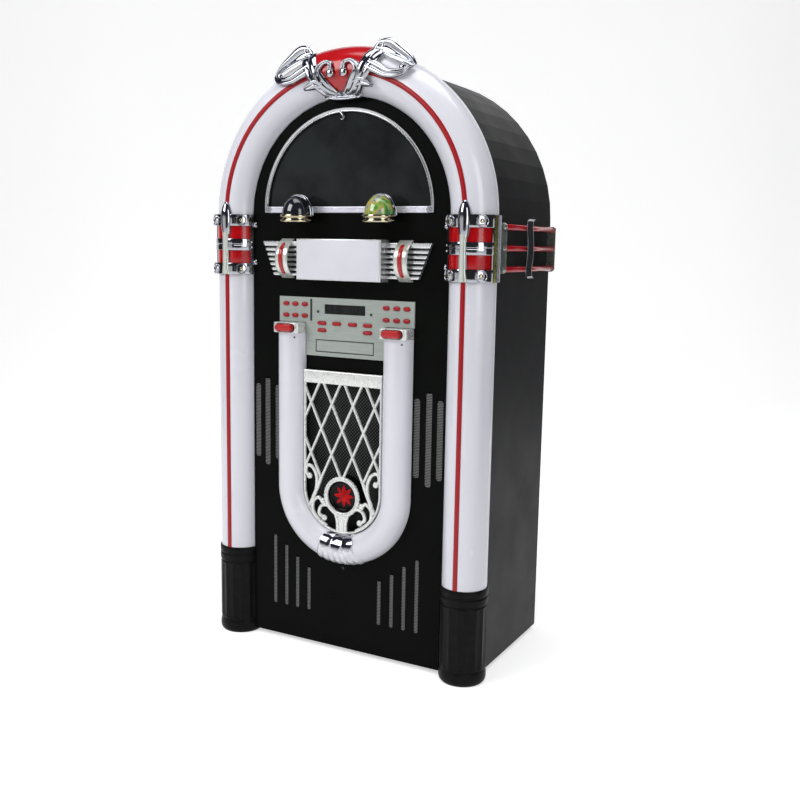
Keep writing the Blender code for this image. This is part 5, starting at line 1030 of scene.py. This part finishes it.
def plan_outline(x, half, front, rear, radius, steps=8):
    """A cap seen from above: a box whose two front corners are quarter circles of a radius."""
    turn = np.radians(np.linspace(-90, 0, steps + 1))
    corner = np.column_stack([x + half - radius + radius * np.cos(turn),
                              front + radius + radius * np.sin(turn)])
    mirror = np.column_stack([2 * x - corner[::-1, 0], corner[::-1, 1]])
    return np.vstack([corner, [(x + half, rear), (x - half, rear)], mirror])


def stacked(outline, stops, middle):
    """Rings of a plan outline at heights z, each drawn in toward a middle by an inset in metres."""
    flat = outline - np.array(middle)
    size = np.linalg.norm(flat, axis=1)[:, None]
    return np.array([np.column_stack([np.array(middle) + flat * (1 - inset / size), np.full(len(flat), z)])
                     for z, inset in stops])


CAP_BLACK = finish("cap_black", (0.010, 0.010, 0.011), 0.25, vary=0.2, grain=60, coat=0.4)
for tag, side in SIDES:
    x = side * U_HALF
    outline = plan_outline(x, 0.0319, CAP_FRONT, TRIM_BACK, 0.0085)
    stops = [(CAP_LOW, 0.0012), (CAP_LOW + 0.0004, 0.0004), (CAP_LOW + 0.0014, 0.0), (CAP_HIGH - 0.0014, 0.0),
             (CAP_HIGH - 0.0004, 0.0004), (CAP_HIGH, 0.0012)]
    make(f"cap_skin_{tag}", [stacked(outline, stops, (x, -0.155))], CAST_SILVER, stands_for=(f"cap_{tag}",),
         hard=45)
    seat = stadium(x, 0.7008, 0.0500, 0.0196, 12)
    make(f"cap_seat_{tag}", [slab_skin(seat, CAP_FRONT - 0.0008, CAP_FRONT + 0.001)], CAP_BLACK)
    jewel = []
    for a in np.radians((0, 15, 30, 45, 60, 72, 82, 88)):
        loop = stadium(x, 0.7008, 0.044 - 0.007 * (1 - math.cos(a)), 0.017 - 0.007 * (1 - math.cos(a)), 12)
        jewel.append(np.column_stack([loop[:, 0],
                                      np.full(len(loop), CAP_FRONT + 0.0008 - 0.0105 * math.sin(a)),
                                      loop[:, 1]]))
    make(f"cap_jewel_{tag}", [np.array(jewel)], RED_GLOSS, stands_for=(f"cap_{tag}",),
         hard=60)

# %% [markdown]
# ## The cast grille
#
# A diamond lattice fills the U, and at its foot a notched ring sits among scrolls. Every bar is a round rib:
# proud(a) = T * sin(a) ^ 0.6 across its width, which is how a sand casting leaves its pattern, never square.

# %% Grille
GRILLE_FRONT, GRILLE_REAR, GRILLE_HALF = -0.15075, -0.14575, 0.095
LATTICE_STEP, LATTICE_RISE, LATTICE_Z = 0.0515, 0.108, 0.491
RING_Z, RING_INNER = 0.348, 0.034
LATTICE_RIB, BORDER_RIB, SCROLL_RIB = 0.0056, 0.0050, 0.0074
SCROLL_SHARES = (
    ((0.54, 0.39), (0.62, 0.18), (0.74, -0.08), (0.84, -0.28)),
    ((0.86, 0.38), (0.95, 0.48), (0.91, 0.62), (0.76, 0.58), (0.66, 0.38), (0.67, 0.12), (0.76, -0.10)),
    ((0.50, -0.16), (0.62, -0.09), (0.75, -0.20), (0.75, -0.42), (0.58, -0.60), (0.38, -0.72)),
    ((0.46, -0.54), (0.59, -0.45), (0.54, -0.28), (0.36, -0.24), (0.19, -0.36), (0.11, -0.56), (0.10, -0.80)))


def rib_section(width, front, rear, steps=10):
    """(across, toward the viewer) for a rib: proud(a) = (front - rear) * sin(a) ^ 0.6 over a flat back."""
    a = np.linspace(0, math.pi, steps + 1)
    return np.column_stack([width / 2 * np.sign(np.cos(a)) * np.abs(np.cos(a)) ** 0.8,
                            (rear - front) * np.sin(a) ** 0.6])


def rib(line, width, front=GRILLE_FRONT, rear=GRILLE_REAR):
    """A rounded rib along an (x, z) line."""
    return front_rail(line, rear, rib_section(width, front, rear))


skins = []
for rising in (1, -1):
    for k in range(-4, 5):
        z = np.linspace(0.384, 0.600, 300)
        x = k * LATTICE_STEP + rising * LATTICE_STEP / LATTICE_RISE * (z - LATTICE_Z)
        kept = (np.abs(x) < 0.0925) & (np.hypot(x, z - RING_Z) > 0.041)
        if kept.sum() > 12:
            ends = np.flatnonzero(kept)[[0, -1]]
            skins.append(rib([(x[i], z[i]) for i in np.linspace(*ends, 6).astype(int)], LATTICE_RIB,
                             GRILLE_FRONT + 0.0002 + 0.0002 * rising))
half = GRILLE_HALF - BORDER_RIB / 2
border = np.vstack([[(-half, 0.600), (-half, 0.52), (-half, 0.44)], arc(0, 0.363, half, 180, 360, 64),
                    [(half, 0.44), (half, 0.52), (half, 0.600)]])
skins.append(rib(border, BORDER_RIB))
head = [(-0.0138, 0.0), (-0.0138, 0.0034), (-0.0128, 0.0046), (-0.0112, 0.0050), (0.0112, 0.0050),
        (0.0128, 0.0046), (0.0138, 0.0034), (0.0138, 0.0)]
skins.append(front_rail(np.column_stack([np.linspace(-0.0948, 0.0948, 9), np.full(9, 0.600)]), GRILLE_REAR,
                        head))
skins.append(front_rail(np.column_stack([np.full(5, 0.0885), np.linspace(0.5885, 0.6115, 5)]),
                        GRILLE_FRONT + 0.0006,
                        [(-0.0056, 0.0), (-0.0050, 0.0005), (0.0050, 0.0005), (0.0056, 0.0)]))
stem = np.array([(0.0, z) for z in np.linspace(0.309, 0.267, 9)])
skins.append(carry(np.column_stack([stem[:, 0], np.full(9, GRILLE_REAR), stem[:, 1]]),
                   np.tile([1.0, 0, 0], (9, 1)),
                   np.tile([0, -1.0, 0], (9, 1)),
                   [rib_section(width, GRILLE_FRONT + 0.0004, GRILLE_REAR) for width in
                    (0.026, 0.021, 0.017, 0.0145, 0.013, 0.0125, 0.013, 0.0145, 0.017)]))
for side in (-1, 1):
    for index, shares in enumerate(SCROLL_SHARES):
        line = through([(side * GRILLE_HALF * x, RING_Z + GRILLE_HALF * z) for x, z in shares], 9)
        skins.append(rib(line, SCROLL_RIB, GRILLE_FRONT + 0.00012 * (index + 1)))
        if index:
            x, z = line[0]
            skins.append(ball(x, GRILLE_REAR - 0.0006, z, 0.0068, 0.62))
    for x, z, reach, turn in ((0.098, 0.349, 0.012, 100), (0.049, 0.276, 0.010, -60)):
        a = np.radians(turn)
        leaf = np.array([(side * (x - 0.006 - k * reach * math.cos(a) * 0.1),
                          z + k * reach * math.sin(a) * 0.25) for k in range(5)])
        leaf[:, 0] = np.clip(leaf[:, 0], -0.0925, 0.0925)
        skins.append(rib(leaf, 0.0046, GRILLE_FRONT + 0.0008))


def rope_ring(x, z, section, notches, depth, steps=288):
    """A ring about an axis along Y: radius(a, v) = r(v) - depth * w(v) * (1 - |cos(notches * a / 2)|)."""
    r, y, weight = np.array(section).T[:, None, :]
    a = np.linspace(0, math.tau, steps, endpoint=False)[:, None]
    radius = r - depth * weight * (1 - np.abs(np.cos(notches * a / 2)) ** 0.7)
    return np.stack([x + radius * np.cos(a), y + 0 * a, z + radius * np.sin(a)], axis=-1)


RING_PROFILE = ((0.0342, GRILLE_REAR, 0), (0.0342, -0.1496, 0), (0.0352, -0.1505, 0), (0.0366, -0.1505, 0),
                (0.0374, -0.1494, 0), (0.0384, -0.1494, 0.3), (0.0396, -0.1506, 0.7), (0.0416, -0.1507, 1),
                (0.0430, -0.1500, 1), (0.0439, -0.1486, 1), (0.0439, GRILLE_REAR, 1))
skins.append((rope_ring(0, RING_Z, RING_PROFILE, 36, 0.0014),))
make("grille_casting", skins, CAST_SILVER, stands_for=("grille",), hard=42)

# %% Medallion
dish = [(0.0432, -0.1240), (0.0436, -0.1244), (0.0436, -0.1448), (0.0432, -0.1453), (0.0350, -0.1454),
        (0.0338, -0.1449), (0.0330, -0.1432), (0.0312, -0.1400), (0.0280, -0.1384), (0.0200, -0.1380),
        (0.0090, -0.1382), (0.0040, -0.1386), (0.0004, -0.1388)]
make("medallion_dish", [lengthwise(dish, 0, RING_Z, 72)], GLOSS_BLACK_AND_PAINTED_SHADE, stands_for=("medallion",))
STAR_RED = finish("star_red", (0.46, 0.002, 0.004), 0.30, vary=0.30, grain=90, haze=0.05, bump=0.05,
                  specular=0.15)
star = []
turn = np.arange(32) * math.tau / 32
sharp = np.abs(((turn / (math.tau / 8)) % 1) - 0.5) * 2
for reach, y in ((1.0, -0.1379), (0.98, -0.1388), (0.55, -0.1398), (0.16, -0.1406), (0.05, -0.1407)):
    radius = RING_INNER * (0.36 + (0.74 - 0.36) * sharp) * reach
    star.append(np.column_stack([radius * np.sin(turn), np.full(32, y), RING_Z + radius * np.cos(turn)]))
make("medallion_star", [np.array(star)], STAR_RED, stands_for=("medallion",), hard=20)
dress(WOVEN_METAL, "speaker_mesh")

# %% [markdown]
# ## Vent columns
#
# Seven slots on each side let sound and warm air through the board. Behind each stands a column of fine
# pressed slats at one pitch. A column is one skin whose front steps in and out once for each slat. By the
# height alone its material is pale on each slat and black in the hollow between two: the black is painted
# shade.

# %% Vents
SLAT_PITCH, SLAT_FRONT, SLAT_HOLLOW, SLAT_REAR = 0.0032, -0.1379, -0.1360, -0.1350
UPPER_SLOTS = ((0.170, 0.407, 0.574), (0.197, 0.391, 0.589), (0.222, 0.407, 0.574))
LOWER_SLOTS = ((0.088, 0.078, 0.179), (0.118, 0.078, 0.199), (0.147, 0.078, 0.220), (0.177, 0.078, 0.238))


def slat_column(x, low, high, half_width):
    """One skin up a slot: four levels for each slat, which stands proud of the hollow between two."""
    first, last = int(math.ceil((low + 0.001) / SLAT_PITCH)), int((high - 0.001) / SLAT_PITCH)
    base = np.arange(first, last)[:, None] * SLAT_PITCH
    z = (base + np.array([0.0002, 0.0004, 0.0016, 0.0018])).ravel()
    y = np.tile([SLAT_HOLLOW, SLAT_FRONT, SLAT_FRONT, SLAT_HOLLOW], last - first)
    rear = np.full_like(y, SLAT_REAR)
    left, right_side = np.full_like(y, x - half_width), np.full_like(y, x + half_width)
    return np.stack([np.column_stack(c)
                     for c in ((left, rear, z), (right_side, rear, z), (right_side, y, z), (left, y, z))],
                    axis=1)


def slat_metal_painted_shade():
    """grey(z) = pale where frac(z / pitch) < 0.62, else black: the black in the hollows is painted shade."""
    made = finish("slat_metal_painted_shade", (0.3, 0.3, 0.3), 0.4, metallic=0.3, vary=0.2, grain=150, bump=0.1)
    tree = made.node_tree
    shader = tree.nodes["Principled BSDF"]
    place = next(n for n in tree.nodes if n.type == "TEX_COORD")
    split = tree.nodes.new("ShaderNodeSeparateXYZ")
    tree.links.new(place.outputs["Object"], split.inputs["Vector"])
    divide = tree.nodes.new("ShaderNodeMath")
    divide.operation = "DIVIDE"
    divide.inputs[1].default_value = SLAT_PITCH
    fraction = tree.nodes.new("ShaderNodeMath")
    fraction.operation = "FRACT"
    tree.links.new(split.outputs["Z"], divide.inputs[0])
    tree.links.new(divide.outputs["Value"], fraction.inputs[0])
    ramp = tree.nodes.new("ShaderNodeValToRGB")
    # Black in the hollows between slats is painted shade.
    ramp.color_ramp.elements[0].position, ramp.color_ramp.elements[0].color = 0.50, (0.20, 0.20, 0.20, 1.0)
    ramp.color_ramp.elements[1].position, ramp.color_ramp.elements[1].color = 0.60, (0.004, 0.004, 0.004, 1.0)
    tree.links.new(fraction.outputs["Value"], ramp.inputs["Fac"])
    tree.links.new(ramp.outputs["Color"], shader.inputs["Base Color"])
    return made


SLAT_METAL_PAINTED_SHADE = slat_metal_painted_shade()
for tag, side in SIDES:
    columns = [slat_column(side * x, low, high, 0.0068) for x, low, high in UPPER_SLOTS]
    columns += [slat_column(side * x, low, high, 0.0043) for x, low, high in LOWER_SLOTS]
    make(f"vent_slats_{tag}", columns, SLAT_METAL_PAINTED_SHADE, hard=20)

# %% [markdown]
# ## Small hardware
#
# Domed nuts stand beside the clamps, a pan screw with a dished head holds the board under the shell, and
# small screws hold the tube ends and the back. None of these moves.

# %% Nuts and screws
NUT = [(0.0052, PANEL_Y - 0.0003), (0.0052, PANEL_Y - 0.0012), (0.0044, PANEL_Y - 0.0016),
       (0.0044, PANEL_Y - 0.0028),
       (0.0038, PANEL_Y - 0.0042), (0.0024, PANEL_Y - 0.0051), (0.0006, PANEL_Y - 0.0054)]
nuts = [lengthwise(NUT, side * 0.2275, z, 24) for side in (-1, 1) for z in (0.834, 0.913)]
make("board_nuts", nuts, CHROME)


def pan_screw(x, z, y, radius, away=-1):
    """A pan head with a dished middle, standing off a face at y toward away."""
    return lengthwise([(radius, y), (radius, y + away * 0.0004), (radius * 0.86, y + away * 0.0011),
                       (radius * 0.5, y + away * 0.0014),
                       (radius * 0.30, y + away * 0.0013), (radius * 0.22, y + away * 0.0006)], x, z, 24)


front_screws = [pan_screw(0.0, 0.190, PANEL_Y - 0.0003, 0.0034)]
front_screws += [pan_screw(side * U_HALF + 0.019, 0.681, U_BACK - 0.0256, 0.0022) for side in (-1, 1)]
make("front_screws", front_screws, DARK_PLASTIC_AND_PAINTED_SHADE)
panel_low, panel_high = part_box("back_panel")
rows = np.linspace(panel_low.z + 0.025, min(panel_high.z - 0.20, 0.93), 5)
back_screws = [pan_screw(side * (panel_high.x - 0.012), z, panel_high.y + 0.0002, 0.0036, 1)
               for side in (-1, 1) for z in rows]
make("back_screws", back_screws, RAIL_METAL)

# %% [markdown]
# ## What stays as the CAD made it
#
# The boards, the glass and everything inside keep their CAD shape and take a finish here.

# %% Finishes for the CAD nodes that stay
# The side copy of the lacquer is lighter as painted light, the front copy darker as painted shade.
dress(BOARD_SIDE_PAINTED_LIGHT, "cabinet_shell")
dress(BOARD_FRONT_PAINTED_SHADE, "front_panel")
dress(BOARD_BACK, "back_panel")
dress(SMOKED_GLASS, "window_glass")
dress(RAIL_METAL, "disc_drive")
dress(PAPER_CONE, "loudspeaker")
dress(DARK_PLASTIC_AND_PAINTED_SHADE, "power_inlet", "power_switch")
kept = sorted(n for n, o in nodes.items() if not o.hide_render)
print("kept from the CAD:", kept)

# %% [markdown]
# ## Floor and light
#
# A pale floor runs back and curves up into a wall, as paper does in a studio. A broad soft lamp hangs to the
# left of the camera, a second fills from the right, and a third washes the top. Chrome shows whatever
# surrounds it, so the camera, metal and glass see a white world low down and a dark ceiling above, and black
# cards stand outside the camera's view. The cards are in plain sight from other sides.

# %% Floor
FLOOR_DEEP, FLOOR_HALF, BEND, PAPER_GLOW = 3.4, 6.0, 1.6, 0.56
FLOOR_GAP = 0.0004


def seen_rays(tree):
    """1 for camera, glossy and transmission rays, else 0, so no more light falls on the object."""
    rays = tree.nodes.new("ShaderNodeLightPath")
    total = rays.outputs["Is Camera Ray"]
    for name in ("Is Glossy Ray", "Is Transmission Ray"):
        larger = tree.nodes.new("ShaderNodeMath")
        larger.operation = "MAXIMUM"
        tree.links.new(total, larger.inputs[0])
        tree.links.new(rays.outputs[name], larger.inputs[1])
        total = larger.outputs["Value"]
    return total


run = [(-6.0, 0.0), (FLOOR_DEEP, 0.0)]
run += [(FLOOR_DEEP + BEND * math.sin(a), BEND - BEND * math.cos(a)) for a in np.radians(np.arange(6, 91, 6))]
run.append((FLOOR_DEEP + BEND, 6.0))
sweep_points = np.array([[(x, y, z - FLOOR_GAP) for x in (-FLOOR_HALF, FLOOR_HALF)] for y, z in run])
paper_mesh = bpy.data.meshes.new("paper")
fill_mesh(paper_mesh, sweep_points.reshape(-1, 3), skin_faces(len(run), 2, False)[::2])
paper_mesh.shade_smooth()
PAPER = finish("paper", (0.86, 0.86, 0.86), 0.7, vary=0.004, grain=2, bump=0.02, specular=0.15)
paper_mesh.materials.append(PAPER)
tree = PAPER.node_tree
dim = tree.nodes.new("ShaderNodeMath")
dim.operation = "MULTIPLY"
dim.inputs[1].default_value = PAPER_GLOW
glow = tree.nodes.new("ShaderNodeEmission")
both = tree.nodes.new("ShaderNodeAddShader")
tree.links.new(seen_rays(tree), dim.inputs[0])
tree.links.new(dim.outputs["Value"], glow.inputs["Strength"])
tree.links.new(tree.nodes["Principled BSDF"].outputs["BSDF"], both.inputs[0])
tree.links.new(glow.outputs["Emission"], both.inputs[1])
tree.links.new(both.outputs["Shader"], tree.nodes["Material Output"].inputs["Surface"])
paper = bpy.data.objects.new("paper", paper_mesh)
bpy.context.scene.collection.objects.link(paper)
paper.matrix_world = Matrix.Rotation(AZIMUTH, 4, "Z")
paper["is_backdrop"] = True

# %% Lamps of the studio and the world
CARDS = ((-72, 2.7, 1.5, 2.6), (90, 2.7, 1.3, 2.4), (22, 3.9, 2.3, 2.6), (122, 3.0, 0.8, 2.4),
         (150, 3.0, 1.4, 2.6), (0, 4.4, 0.8, 2.6))


def softbox(name, place, size, power, aim=(0.0, 0.0, 0.6)):
    """An area lamp of a size in metres that looks at a point."""
    data = bpy.data.lights.new(name, "AREA")
    data.shape, data.size, data.size_y, data.energy = "RECTANGLE", size[0], size[1], power
    made = bpy.data.objects.new(name, data)
    made.location = place
    made.rotation_euler = (Vector(aim) - Vector(place)).to_track_quat("-Z", "Y").to_euler()
    bpy.context.scene.collection.objects.link(made)
    made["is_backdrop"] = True


for lamp in (("key", (-1.6, -2.6, 2.6), (1.8, 1.8), 60), ("fill", (2.9, -2.0, 1.6), (1.2, 2.2), 26),
             ("top", (0.2, -0.2, 3.4), (2.4, 1.6), 38)):
    softbox(*lamp)


def black_card(name, azimuth, distance, width, top):
    """A black card that stands on the floor at an azimuth and looks at the jukebox, for metal to mirror."""
    a = math.radians(azimuth)
    out, aside = np.array([math.sin(a), -math.cos(a)]), np.array([math.cos(a), math.sin(a)])
    corners = [(*(out * distance + aside * s * width / 2), z) for z in (0.0, top) for s in (-1, 1)]
    mesh = bpy.data.meshes.new(name)
    fill_mesh(mesh, np.array(corners), np.array([[0, 1, 3, 2]]))
    mesh.materials.append(DARK_PLASTIC_AND_PAINTED_SHADE)
    made = bpy.data.objects.new(name, mesh)
    bpy.context.scene.collection.objects.link(made)
    made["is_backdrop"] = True


for number, (azimuth, distance, width, top) in enumerate(CARDS):
    black_card(f"black_card_{number}", azimuth, distance, width, top)
CEILING_STOPS, CEILING_COLOURS = (0.04, 0.15), ((0.9, 0.9, 0.9, 1.0), (0.05, 0.047, 0.075, 1.0))
world = bpy.data.worlds.new("studio")
bpy.context.scene.world = world
world.use_nodes = True
tree = world.node_tree
sky = tree.nodes["Background"]
place = tree.nodes.new("ShaderNodeTexCoord")
height = tree.nodes.new("ShaderNodeSeparateXYZ")
shade = tree.nodes.new("ShaderNodeValToRGB")
tree.links.new(place.outputs["Generated"], height.inputs["Vector"])
tree.links.new(height.outputs["Z"], shade.inputs["Fac"])
shade.color_ramp.elements[0].color = (0.30, 0.30, 0.31, 1.0)
shade.color_ramp.elements[1].color = (0.95, 0.95, 0.97, 1.0)
tree.links.new(shade.outputs["Color"], sky.inputs["Color"])
sky.inputs["Strength"].default_value = 0.55
white = tree.nodes.new("ShaderNodeBackground")
white.inputs["Strength"].default_value = 1.0
ceiling = tree.nodes.new("ShaderNodeValToRGB")
for stop, position, colour in zip(ceiling.color_ramp.elements, CEILING_STOPS, CEILING_COLOURS):
    stop.position, stop.color = position, colour
tree.links.new(height.outputs["Z"], ceiling.inputs["Fac"])
tree.links.new(ceiling.outputs["Color"], white.inputs["Color"])
mixed = tree.nodes.new("ShaderNodeMixShader")
tree.links.new(seen_rays(tree), mixed.inputs["Fac"])
tree.links.new(sky.outputs["Background"], mixed.inputs[1])
tree.links.new(white.outputs["Background"], mixed.inputs[2])
tree.links.new(mixed.outputs["Shader"], tree.nodes["World Output"].inputs["Surface"])
print("lamps", len(bpy.data.lights))

# %% [markdown]
# ## Check the box and finish
#
# Nothing that was dressed may stand outside the CAD box.

# %% Finish
dressed_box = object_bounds()
grown = max(max(cad_box[0][k] - dressed_box[0][k], dressed_box[1][k] - cad_box[1][k]) for k in range(3))
print("grown past the CAD box by", round(grown * 1000, 2), "mm")
